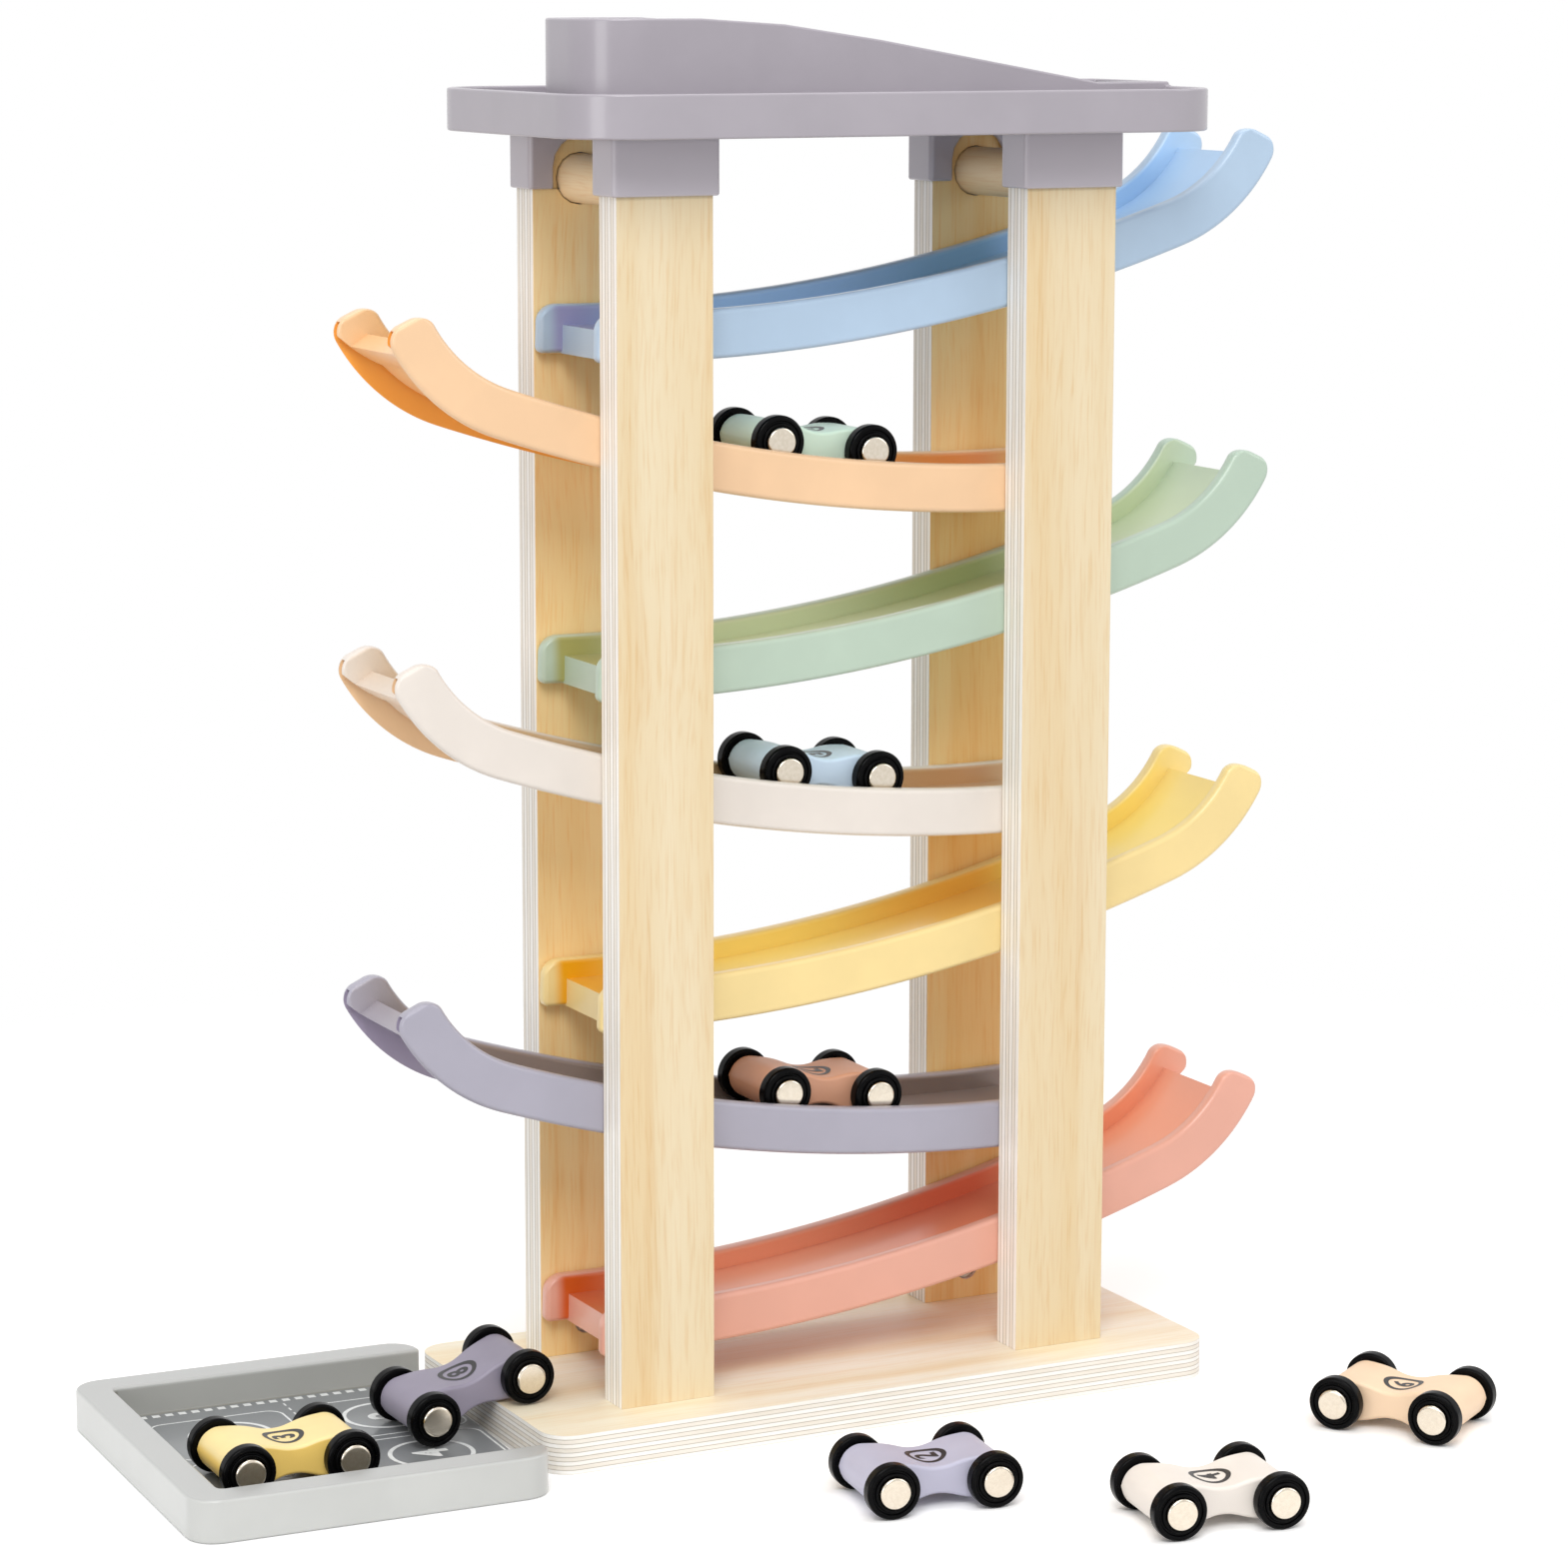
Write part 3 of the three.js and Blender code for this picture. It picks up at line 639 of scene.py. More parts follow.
def track_path(size, span, stations):
    """Points along the lower edge from one angle to another, closer together near both ends."""
    start, end = span
    run, caught = size["Run radius"], size["Catch radius"]
    first = (size["Join angle"] - start) * run
    length = first + (end - size["Join angle"]) * caught
    line = add_node(run.tree, "GeometryNodeMeshLine", {"mode": "OFFSET"}, {"Count": stations})
    share = add_node(run.tree, "GeometryNodeInputIndex") / (stations - 1.0)
    eased = share - (share * (2 * math.pi)).of("SINE") * (EASE / (2 * math.pi))
    along = eased * length
    shallow = start + along.least(first) / run
    lean = shallow + (along - first).most(0.0) / caught
    x = size["Low point"] + run * shallow.of("SINE") + caught * (lean.of("SINE") - shallow.of("SINE"))
    z = run - run * shallow.of("COSINE") - caught * (lean.of("COSINE") - shallow.of("COSINE"))
    place = x.node("ShaderNodeCombineXYZ", None, {0: x, 2: z})
    line = stored(stored(line, "along", along), "lean", lean)
    line = line.node("GeometryNodeSetPosition", None, {"Geometry": line, "Position": place})
    curve = line.node("GeometryNodeMeshToCurve", None, {"Mesh": line})
    curve = curve.node("GeometryNodeSetCurveNormal", {"mode": "Z_UP"}, {"Curve": curve})
    return curve, length


def bar_section(heights, middle, width, edge):
    """A rounded rectangle whose Y runs down from the lower edge's side, as the sweep turns it."""
    low, high = heights
    tall = high - low
    sockets = {"Width": width, "Height": tall}
    outline = tall.node("GeometryNodeCurvePrimitiveQuadrilateral", {"mode": "RECTANGLE"}, sockets)
    if edge is not None:
        sockets = {"Curve": outline, "Radius": edge, "Count": FILLET_POINTS, "Limit Radius": True}
        outline = outline.node("GeometryNodeFilletCurve", {"mode": "POLY"}, sockets)
    shift = tall.node("ShaderNodeCombineXYZ", None, {0: -middle, 1: (low + high) * -0.5})
    outline = outline.node("GeometryNodeTransform", None, {"Geometry": outline, "Translation": shift})
    x, y, _ = xyz_of(tall.node("GeometryNodeInputPosition"))
    return stored(stored(outline, "rise", -y), "side", -x)


def swept_bar(size, span, heights, middle, width, stations, edge=None):
    curve, length = track_path(size, span, stations)
    section = bar_section(heights, middle, width, edge)
    sockets = {"Curve": curve, "Profile Curve": section, "Fill Caps": True}
    return curve.node("GeometryNodeCurveToMesh", None, sockets), length


def quarter_round(radius, distance):
    """How far a rounded end stands back at a distance from that end."""
    left = (radius - distance).most(0.0)
    inside = (radius * radius - left * left).most(0.0)
    return radius - inside.of("SQRT")


def shifted(bar, lift, across=0.0):
    """Moves a bar's points along its own height and across it."""
    lean = named_value(bar.tree, "lean")
    x, z = -(lift * lean.of("SINE")), lift * lean.of("COSINE")
    move = lift.node("ShaderNodeCombineXYZ", None, {0: x, 1: across, 2: z})
    return bar.node("GeometryNodeSetPosition", None, {"Geometry": bar, "Offset": move})


def run_out(size, bar):
    """Brings the top of the hollow down to the lower edge towards the tip."""
    lean, rise = named_value(bar.tree, "lean"), named_value(bar.tree, "rise")
    share = (size["Hollow end"] - lean) / (size["Hollow end"] - size["Hollow full"])
    return shifted(bar, rise.most(0.0) * (share.least(1.0) - 1.0))


def under_tip(size, slit, length):
    """Brings the top of a slit down along the round tip, so that the plastic above it stays whole."""
    along, rise = named_value(slit.tree, "along"), named_value(slit.tree, "rise")
    drop = quarter_round(size["Tip radius"], length - along + SLIT_SETBACK)
    return shifted(slit, rise.most(0.0) * drop / (size["Wall"] - size["Rail height"]))


def rounded_ends(size, bar, length, middle, width):
    """Draws the bar's height and width in towards both ends, so its nose and tip are round."""
    along, rise, side = [named_value(bar.tree, name) for name in ("along", "rise", "side")]
    tall = size["Rail height"]
    back = length - along
    tip = quarter_round(size["Tip radius"], back)
    top = tall - quarter_round(size["Nose radius"], along).most(tip)
    foot = quarter_round(size["Foot radius"], along).most(tip)
    lift = foot + rise / tall * (top - foot) - rise
    pinch = quarter_round(size["Edge radius"], along.least(back)) / (width * 0.5)
    return shifted(bar, lift, (middle - side) * pinch)


print("sweep helpers ready, with the notes", ", ".join(SWEEP_NOTES))

# %% [markdown]
# A whole track joins two rails and a floor, then takes away two slits and the hollow. The same tree makes
# all seven, because its height, turn and plastic are inputs of the group. What the cutters leave is marked,
# so that the finish can find it.

# %% Geometry tree of a whole track
RAIL_STATIONS = 140
CUT_STATIONS = 120
FLOOR_STATIONS = 96
# How far a bar runs into its neighbour, so that the Boolean nodes find a clear overlap.
OVERLAP = 1 * MM
UNION = {"operation": "UNION", "solver": "MANIFOLD"}
DIFFERENCE = {"operation": "DIFFERENCE", "solver": "MANIFOLD"}


def track_bars(size):
    """The bars that make a track, and the bars that are cut away from below."""
    none = size["Wall"] * 0.0
    below = none - OVERLAP
    half = size["Track width"] * 0.5
    wall_turn = size["Wall"] / size["Run radius"]
    rail_span = (size["Low angle"], size["Tip angle"])
    rail_heights = (none, size["Rail height"])
    rail_width = size["Rail width"]
    slit_span = (size["Low angle"] + wall_turn, size["Slit end"])
    slit_heights = (below, size["Rail height"] - size["Wall"])
    pieces = []
    cuts = []
    for side in (-1.0, 1.0):
        middle = (half - rail_width * 0.5) * side
        bar = (rail_span, rail_heights, middle, rail_width, RAIL_STATIONS, size["Edge radius"])
        rail, length = swept_bar(size, *bar)
        pieces.append(rounded_ends(size, rail, length, middle, rail_width))
        middle = (half - size["Rail wall"] - size["Slit"] * 0.5) * side
        slit, length = swept_bar(size, slit_span, slit_heights, middle, size["Slit"], CUT_STATIONS)
        cuts.append(under_tip(size, slit, length))
    span = (size["Floor angle"], size["Lip angle"])
    inside = size["Track width"] - rail_width * 2.0 + 2 * OVERLAP
    floor, _ = swept_bar(size, span, (none, size["Floor rise"]), none, inside, FLOOR_STATIONS)
    span = (size["Floor angle"] + wall_turn, size["Hollow end"])
    heights = (below, size["Floor rise"] - size["Wall"])
    inside = size["Track width"] - size["Wall"] * 2.0
    under, _ = swept_bar(size, span, heights, none, inside, CUT_STATIONS)
    return pieces + [floor], cuts + [run_out(size, under)]


def send_out(geometry, lift, turn, material):
    """Turns and lifts what a tree has made, gives it a finish and sends it to the tree's output."""
    turn = geometry.node("ShaderNodeCombineXYZ", None, {2: turn})
    turn = turn.node("FunctionNodeEulerToRotation", None, {0: turn})
    moved = {"Geometry": geometry, "Translation": lift, "Rotation": turn}
    geometry = geometry.node("GeometryNodeTransform", None, moved)
    geometry = geometry.node("GeometryNodeRealizeInstances", None, {"Geometry": geometry})
    geometry = geometry.node("GeometryNodeSetMaterial", None, {"Geometry": geometry, "Material": material})
    geometry.node("NodeGroupOutput", None, {"Geometry": geometry}, None)


def track_tree():
    tree = bpy.data.node_groups.new("moulded track", "GeometryNodeTree")
    size = group_sizes(tree, {
        "Run radius": RUN_RADIUS, "Catch radius": CATCH_RADIUS, "Low point": LOW_POINT,
        "Low angle": LOW_ANGLE, "Join angle": JOIN_ANGLE, "Tip angle": TIP_ANGLE,
        "Floor angle": FLOOR_ANGLE, "Lip angle": LIP_ANGLE, "Slit end": SLIT_END,
        "Hollow full": HOLLOW_FULL, "Hollow end": HOLLOW_END, "Floor rise": FLOOR_RISE,
        "Track width": TRACK_WIDTH, "Rail height": RAIL_HEIGHT, "Rail width": RAIL_WIDTH,
        "Wall": PLASTIC_WALL, "Rail wall": RAIL_WALL, "Slit": RAIL_SLIT,
        "Nose radius": NOSE_RADIUS, "Foot radius": FOOT_RADIUS, "Tip radius": TIP_RADIUS,
        "Edge radius": RAIL_EDGE, "Height": 0.0, "Turn": 0.0, "Plastic": None,
    })
    pieces, cuts = track_bars(size)
    joined = add_node(tree, "GeometryNodeMeshBoolean", UNION, {"Mesh 2": pieces})
    cutter = add_node(tree, "GeometryNodeMeshBoolean", UNION, {"Mesh 2": cuts})
    joined = stored(joined, "hollow", 0.0, "FACE")
    cutter = stored(cutter, "hollow", 1.0, "FACE")
    track = joined.node("GeometryNodeMeshBoolean", DIFFERENCE, {"Mesh 1": joined, "Mesh 2": cutter})
    reach = xyz_of(add_node(tree, "GeometryNodeInputPosition"))[X_AXIS]
    track = stored(track, "reach", reach)
    lift = track.node("ShaderNodeCombineXYZ", None, {2: size["Height"]})
    send_out(track, lift, size["Turn"], size["Plastic"])
    return tree


print("track tree ready")

# %% [markdown]
# A geometry tree is a live modifier, so each track is run once and kept as a plain mesh. Smooth shading
# with sharp corners and weighted normals lets broad faces stay flat while the rounded edges turn the light.

# %% Tracks
GROWN_SMOOTH = 32.0


def applied(piece, modifier):
    """Makes what a modifier gives the piece's own mesh."""
    depsgraph = bpy.context.evaluated_depsgraph_get()
    mesh = bpy.data.meshes.new_from_object(piece.evaluated_get(depsgraph))
    piece.modifiers.remove(modifier)
    piece.data = mesh
    mesh.name = piece.name
    return mesh


def shade(mesh, angle):
    mesh.polygons.foreach_set("use_smooth", [True] * len(mesh.polygons))
    mesh.set_sharp_from_angle(angle=math.radians(angle))


def flat_faced(piece):
    """Lets each broad face keep its own direction, so that only the rounded edges turn the light."""
    modifier = piece.modifiers.new("flat faces", "WEIGHTED_NORMAL")
    modifier.keep_sharp = True
    applied(piece, modifier)
    return piece


def grown(name, tree, inputs):
    """Runs a geometry tree on an empty mesh and keeps the result as a plain mesh object."""
    piece = linked(name, bpy.data.meshes.new(name + " seed"))
    modifier = piece.modifiers.new("grow", "NODES")
    modifier.node_group = tree
    keys = {item.name: item.identifier for item in tree.interface.items_tree if item.in_out == "INPUT"}
    for key, value in inputs.items():
        modifier[keys[key]] = value
    mesh = applied(piece, modifier)
    for note in [a.name for a in mesh.attributes if a.name in SWEEP_NOTES]:
        mesh.attributes.remove(mesh.attributes[note])
    shade(mesh, GROWN_SMOOTH)
    return flat_faced(piece)


moulding = track_tree()
for level, colour in enumerate(TRACK_ORDER):
    node = "track_" + colour
    height, turn = TRACK_BASE + level * TRACK_PITCH, math.pi * (level % 2)
    inputs = {"Height": height, "Turn": turn, "Plastic": track_finish[colour]}
    piece = grown("moulded_track_" + colour, moulding, inputs)
    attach(piece, "tower")
    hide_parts(node)
    print(piece.name, len(piece.data.polygons), "faces")

# %% [markdown]
# The plywood pieces and the two trays keep their CAD shape, but real edges are never knife sharp. A copy of
# the CAD mesh is merged, its flat triangles are joined into plain faces, and a Bevel modifier rounds the
# edges.

# %% Softened copies of CAD pieces
CAD_MERGE = 2e-6
FLAT_ANGLE = 0.3
SOFT_SMOOTH = 50.0
BASE_EDGE = 0.6 * MM
POST_EDGE = 0.4 * MM
DOWEL_EDGE = 0.3 * MM
DOWEL_ANGLE = 60.0


def softened(node, name, width, segments, material, angle=40.0, clamped=True):
    """A copy of a CAD node whose edges, where sharper than the angle, are rounded to a width."""
    mesh = nodes[node].data.copy()
    mesh.materials.clear()
    mesh.materials.append(material)
    work = bmesh.new()
    work.from_mesh(mesh)
    bmesh.ops.remove_doubles(work, verts=work.verts, dist=CAD_MERGE)
    flat = math.radians(FLAT_ANGLE)
    bmesh.ops.dissolve_limit(work, angle_limit=flat, verts=work.verts, edges=work.edges)
    work.to_mesh(mesh)
    work.free()
    piece = linked(name, mesh)
    bevel = piece.modifiers.new("soft edges", "BEVEL")
    bevel.width = width
    bevel.segments = segments
    bevel.limit_method = "ANGLE"
    bevel.angle_limit = math.radians(angle)
    bevel.use_clamp_overlap = clamped
    finished = applied(piece, bevel)
    for polygon in finished.polygons:
        polygon.material_index = 0
    shade(finished, SOFT_SMOOTH)
    flat_faced(piece)
    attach(piece, "tower")
    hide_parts(node)
    return piece


softened("base_board", "plywood_base", BASE_EDGE, 2, board_wood)
for corner in ("front_left", "front_right", "back_left", "back_right"):
    wood = post_front_wood if corner.startswith("front") else post_back_painted_shade_wood
    softened("post_" + corner, "plywood_post_" + corner, POST_EDGE, 2, wood)
for side in ("left", "right"):
    dowel, name = "cross_dowel_" + side, "round_dowel_" + side
    softened(dowel, name, DOWEL_EDGE, 1, dowel_wood, DOWEL_ANGLE)
print("softened posts, base and dowels")

# %% [markdown]
# The launch tray is one grey moulding: tray, ramp and the four sockets that slip over the posts. Its edges
# are rounded in the same way, but the Bevel modifier may not shrink its width at short edges, or the long
# rim would turn out too sharp.

# %% Launch tray
TRAY_UNDERSIDE = 391 * MM
SOCKET_LIGHT_FADE = 2 * MM
TRAY_EDGE = 0.7 * MM
TRAY_ANGLE = 30.0
TRAY_COAT = 0.25
TRAY_ROUGHER = 0.02
LAUNCH_TINT = "#a7a1a9"
SOCKET_PAINTED_LIGHT = "#b9b3bb"


def launch_plastic():
    """More coat than the tracks, and a little paler on the sockets below the tray, as painted light against
    the shadow that the tray casts on them.
    """
    material, tree = new_material("launch tray plastic")
    place, (_, _, z) = object_place(tree)
    colour, rough, peel = drifting(place, tint(LAUNCH_TINT))
    # Painted light: the sockets below the tray's underside are paler, against the tray's shadow.
    below = 1.0 - z.step(TRAY_UNDERSIDE - SOCKET_LIGHT_FADE, TRAY_UNDERSIDE)
    colour = blend_colour(below, colour, tint(SOCKET_PAINTED_LIGHT))
    satin(tree, colour, rough + TRAY_ROUGHER, peel, TRAY_COAT)
    return material


grey = launch_plastic()
launch_tray = softened(
    "launch_tray", "moulded_launch_tray", TRAY_EDGE, 3, grey, TRAY_ANGLE, False,
)
print("launch tray faces:", len(launch_tray.data.polygons))

# %% [markdown]
# The parking tray stands a little askew, so its finish and print are laid out in the tray's own axes. Its
# walls are pale, and painted shade makes the faces that point up and the tray's inside a darker grey.

# %% Parking tray
PARK_MIDDLE = Vector((-172 * MM, -3.5 * MM, 0.0))
PARK_TURN = math.radians(-2.2)
PARK_HALF_LENGTH = 55 * MM
PARK_HALF_DEPTH = 63 * MM
PARK_WALL = 10.5 * MM
PARK_FLOOR = 3 * MM
PARK_RIM = (11.4 * MM, 12.4 * MM)
PARK_SOFT = 0.3 * MM
PARK_EDGE = 0.9 * MM
PARK_COAT = 0.35
# The walls' own colour, then painted shade for faces that point up and a deeper painted shade for the inside
# of the tray.
PARK_TINTS_AND_SHADES = {"side": "#c4c5c2", "top": "#b3b4b2", "inside": "#8e8e87"}
PARK_TOP_SHADE_FACING = (0.5, 0.95)
inside_low = PARK_WALL - PARK_HALF_LENGTH
inside_half = PARK_HALF_DEPTH - PARK_WALL
park_frame = Matrix.Translation(PARK_MIDDLE) @ Matrix.Rotation(PARK_TURN, 4, "Z")


def parking_plastic():
    material, tree = new_material("parking tray plastic")
    place, _ = object_place(tree)
    moved = place.node("ShaderNodeVectorMath", {"operation": "SUBTRACT"}, {0: place, 1: PARK_MIDDLE[:]})
    turned_back = {"Vector": moved, "Angle": -PARK_TURN}
    x, y, z = xyz_of(moved.node("ShaderNodeVectorRotate", {"rotation_type": "Z_AXIS"}, turned_back))
    past_wall = x.step(inside_low - PARK_SOFT, inside_low + PARK_SOFT)
    past_sides = 1.0 - y.of("ABSOLUTE").step(inside_half - PARK_SOFT, inside_half + PARK_SOFT)
    inside = past_wall * past_sides * (1.0 - z.step(*PARK_RIM))
    colour, rough, peel = drifting(place, tint(PARK_TINTS_AND_SHADES["side"]))
    # Painted shade: faces that point up are darker, and the inside of the tray darker still.
    colour = blend_colour(face_normal(tree)[Z_AXIS].step(*PARK_TOP_SHADE_FACING), colour, tint(PARK_TINTS_AND_SHADES["top"]))
    colour = blend_colour(inside, colour, tint(PARK_TINTS_AND_SHADES["inside"]))
    satin(tree, colour, rough, peel, PARK_COAT)
    return material


pale = parking_plastic()
softened(
    "parking_tray", "moulded_parking_tray", PARK_EDGE, 4, pale, TRAY_ANGLE, False,
)
print("parking tray turned", round(math.degrees(PARK_TURN), 1), "degrees")

# %% [markdown]
# The print on the tray's floor follows rules: a row of squares along the back wall, a broken line between
# the columns and four bays with a ring in each. A geometry tree sets these out as thin flat shapes. That
# keeps the lines crisp, where a pattern in the material would blur once it is baked.

# %% Geometry tree of the parking print
PRINT_LIFT = 0.12 * MM
BAY_MIDDLE = Vector((8 * MM, 2 * MM, 0.0))
BAY_SPACING = Vector((49 * MM, 41 * MM, 0.0))
RING_SIDES = 72
BAY_CORNER_POINTS = 8
SQUARE_ROW = {
    "count": 22, "start": (-40 * MM, 49.6 * MM, 0), "step": (4.16 * MM, 0, 0),
    "length": 2.4 * MM, "width": 2.5 * MM,
}
BROKEN_LINE = {
    "count": 18, "start": (8 * MM, 45 * MM, 0), "step": (0, -5 * MM, 0),
    "length": 0.6 * MM, "width": 2.6 * MM,
}


def ribbon(curve, width):
    """A flat line of a given width along a level curve."""
    half = width * 0.5
    ends = [half.node("ShaderNodeCombineXYZ", None, {0: end}) for end in (-half, half)]
    across = half.node("GeometryNodeCurvePrimitiveLine", None, {"Start": ends[0], "End": ends[1]})
    curve = curve.node("GeometryNodeSetCurveNormal", {"mode": "Z_UP"}, {"Curve": curve})
    return curve.node("GeometryNodeCurveToMesh", None, {"Curve": curve, "Profile Curve": across})


def flat_grid(tree, length, width):
    """A rectangle with a point at each corner."""
    grid = {"Size X": length, "Size Y": width, "Vertices X": 2, "Vertices Y": 2}
    return add_node(tree, "GeometryNodeMeshGrid", None, grid)


def repeated(points, shape):
    return points.node("GeometryNodeInstanceOnPoints", None, {"Points": points, "Instance": shape})


def dashes(tree, count, start, step, length, width):
    line = {"Count": count, "Start Location": start, "Offset": step}
    points = add_node(tree, "GeometryNodeMeshLine", {"mode": "OFFSET"}, line)
    return repeated(points, flat_grid(tree, length, width))


def print_tree():
    tree = bpy.data.node_groups.new("parking print", "GeometryNodeTree")
    size = group_sizes(tree, {
        "Bay length": 42 * MM, "Bay depth": 37 * MM, "Bay corner": 5 * MM, "Ring radius": 12.4 * MM,
        "Thin line": 0.7 * MM, "Ring line": 1.4 * MM, "Ink": None,
    })
    sockets = {"Width": size["Bay length"], "Height": size["Bay depth"]}
    bay = add_node(tree, "GeometryNodeCurvePrimitiveQuadrilateral", {"mode": "RECTANGLE"}, sockets)
    sockets = {"Curve": bay, "Radius": size["Bay corner"], "Count": BAY_CORNER_POINTS, "Limit Radius": True}
    bay = ribbon(bay.node("GeometryNodeFilletCurve", {"mode": "POLY"}, sockets), size["Thin line"])
    sockets = {"Resolution": RING_SIDES, "Radius": size["Ring radius"]}
    ring = ribbon(add_node(tree, "GeometryNodeCurvePrimitiveCircle", None, sockets), size["Ring line"])
    bay = bay.node("GeometryNodeJoinGeometry", None, {"Geometry": [bay, ring]})
    spots = flat_grid(tree, BAY_SPACING.x, BAY_SPACING.y)
    spots = spots.node("GeometryNodeTransform", None, {"Geometry": spots, "Translation": BAY_MIDDLE[:]})
    shapes = [repeated(spots, bay), dashes(tree, **SQUARE_ROW), dashes(tree, **BROKEN_LINE)]
    whole = add_node(tree, "GeometryNodeJoinGeometry", None, {"Geometry": shapes})
    lift = (PARK_MIDDLE.x, PARK_MIDDLE.y, PARK_FLOOR + PRINT_LIFT)
    send_out(whole, lift, PARK_TURN, size["Ink"])
    return tree


printing = print_tree()
print("print tree nodes:", len(printing.nodes))

# %% [markdown]
# A thin dark sheet lies on the tray's floor, with the lines and the plain digits 1 to 4 in white ink. A
# digit starts as a Text curve, because the font already has good shapes, and is made a mesh, which can then
# be laid on any surface.

# %% Printed sheet and digits
SHEET_LIFT = 0.05 * MM
SHEET_EDGE = 0.15 * MM
SHEET_TINT = "#85888a"
DIGIT_SWELL = 0.032
DIGIT_CUTS = 2
FONT_MERGE = 1e-5
BAY_DIGIT = 11 * MM
BAYS = [(-0.5, 0.5), (0.5, 0.5), (-0.5, -0.5), (0.5, -0.5)]
WHITE_INK = "#eceeed"
INK_NOISE = ((600.0, 600.0, 600.0), 3.0)
INK_EDGES = (0.4, 0.7)
INK_WEAR = 0.88
INK_ROUGHNESS = (0.38, 0.1)


def speckled(name, noise, colours, roughness, relief=None, fixed=None, edges=(0.3, 0.7)):
    """A finish that wavers between two colours. roughness is its least and its spread, and relief the
    strength and depth of bumps."""
    material, tree = new_material(name)
    place, _ = object_place(tree)
    cloud = stretched_noise(place, *noise)
    colour = blend_colour(cloud.step(*edges), *colours)
    least, spread = roughness
    bumps = None if relief is None else (cloud, *relief)
    surface(tree, colour, least + cloud * spread, bumps, fixed)
    return material


def ink(name, code):
    colours = (tint(code), dimmed(tint(code), INK_WEAR))
    return speckled(name, INK_NOISE, colours, INK_ROUGHNESS, edges=INK_EDGES)


def sheet_plastic():
    material, tree = new_material("printed floor")
    place, _ = object_place(tree)
    satin(tree, *drifting(place, tint(SHEET_TINT)))
    return material


def link_piece(name, mesh, body, slot, *replaced):
    piece = linked(name, mesh)
    flat_faced(piece)
    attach(piece, body)
    if replaced:
        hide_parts(*replaced)


def flat_digit(text, height):
    """A digit as flat points and small triangles, with its middle at the origin."""
    curve = bpy.data.curves.new("digit " + text, "FONT")
    curve.body = text
    curve.offset = DIGIT_SWELL
    holder = linked("digit " + text, curve)
    depsgraph = bpy.context.evaluated_depsgraph_get()
    mesh = bpy.data.meshes.new_from_object(holder.evaluated_get(depsgraph))
    bpy.data.objects.remove(holder)
    work = bmesh.new()
    work.from_mesh(mesh)
    bmesh.ops.remove_doubles(work, verts=work.verts, dist=FONT_MERGE)
    bmesh.ops.subdivide_edges(work, edges=work.edges, cuts=DIGIT_CUTS, use_grid_fill=True)
    bmesh.ops.triangulate(work, faces=work.faces)
    points = np.array([vert.co[:2] for vert in work.verts])
    faces = [[vert.index for vert in face.verts] for face in work.faces]
    work.free()
    low, high = points.min(axis=0), points.max(axis=0)
    return (points - (low + high) / 2) * (height / (high[1] - low[1])), faces


def together(shapes):
    """Several lists of points and faces as one."""
    points, faces = [], []
    for more, polygons in shapes:
        faces += [tuple(i + len(points) for i in face) for face in polygons]
        points += list(more)
    return points, faces


def laid_print(name, shapes, place, material):
    """Flat shapes set on a surface: place turns a flat point into a point on that surface."""
    points, faces = together(shapes)
    mesh = bpy.data.meshes.new(name)
    mesh.from_pydata([place(x, y) for x, y in points], [], faces)
    mesh.materials.append(material)
    return mesh


def on_tray(x, y, lift=PRINT_LIFT):
    return park_frame @ Vector((x, y, PARK_FLOOR + lift))


def in_bay(column, row):
    """Digits read from the tower's side, so their tops point away from it."""
    middle = BAY_MIDDLE + Vector((BAY_SPACING.x * column, BAY_SPACING.y * row, 0.0))
    return lambda x, y: on_tray(middle.x - y, middle.y + x)


def printed_sheet():
    low, high = inside_low + SHEET_EDGE, PARK_HALF_LENGTH - SHEET_EDGE
    side = inside_half - SHEET_EDGE
    corners = [(low, -side), (high, -side), (high, side), (low, side)]
    mesh = bpy.data.meshes.new("printed_sheet")
    mesh.from_pydata([on_tray(x, y, SHEET_LIFT) for x, y in corners], [], [(0, 1, 2, 3)])
    mesh.materials.append(sheet_plastic())
    return mesh


white_ink = ink("white ink", WHITE_INK)
link_piece("printed_sheet", printed_sheet(), "tower", "pale_grey_plastic")
bay_lines = grown("bay_lines", printing, {"Ink": white_ink})
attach(bay_lines, "tower")
for number, (column, row) in enumerate(BAYS, 1):
    name = "bay_digit_" + str(number)
    mesh = laid_print(name, [flat_digit(str(number), BAY_DIGIT)], in_bay(column, row), white_ink)
    link_piece(name, mesh, "tower", "pale_grey_plastic")
print("parking print faces:", len(bay_lines.data.polygons))

# %% [markdown]
# The cars stand at eight places, some tilted on a track. Their places need no list here, because the CAD
# joints already hold them: the wheel axles give each car's middle, heading and tilt.

# %% Car frames
CAR_NUMBERS = {
    "mint_car": "1", "sky_car": "5", "brown_car": "7", "lavender_car": "2",
    "white_car": "4", "peach_car": "6", "yellow_car": "3", "purple_car": "8",
}


def car_frame(name):
    """The car's own axes: nose along X, up along Z, and the middle of its two axles as the origin."""
    front = Vector(joints[name + "_front_spin"]["pos_m"])
    rear = Vector(joints[name + "_rear_spin"]["pos_m"])
    x = (front - rear).normalized()
    y = Vector((0, 0, 1)).cross(x).normalized()
    z = x.cross(y)
    return Matrix.Translation((front + rear) / 2) @ Matrix((x, y, z)).transposed().to_4x4()


car_frames = {name: car_frame(name) for name in CAR_NUMBERS}
print("cars:", {name: [round(v, 3) for v in place.translation] for name, place in car_frames.items()})

# %% [markdown]
# Each car body is shaped from wood: round ends, a saddle in the top and bottom, and a slight waist. It is
# lofted here from cross sections, each a rounded rectangle, so the edges stay soft along the whole body.
# The paint is satin and lets the close grain show a little.

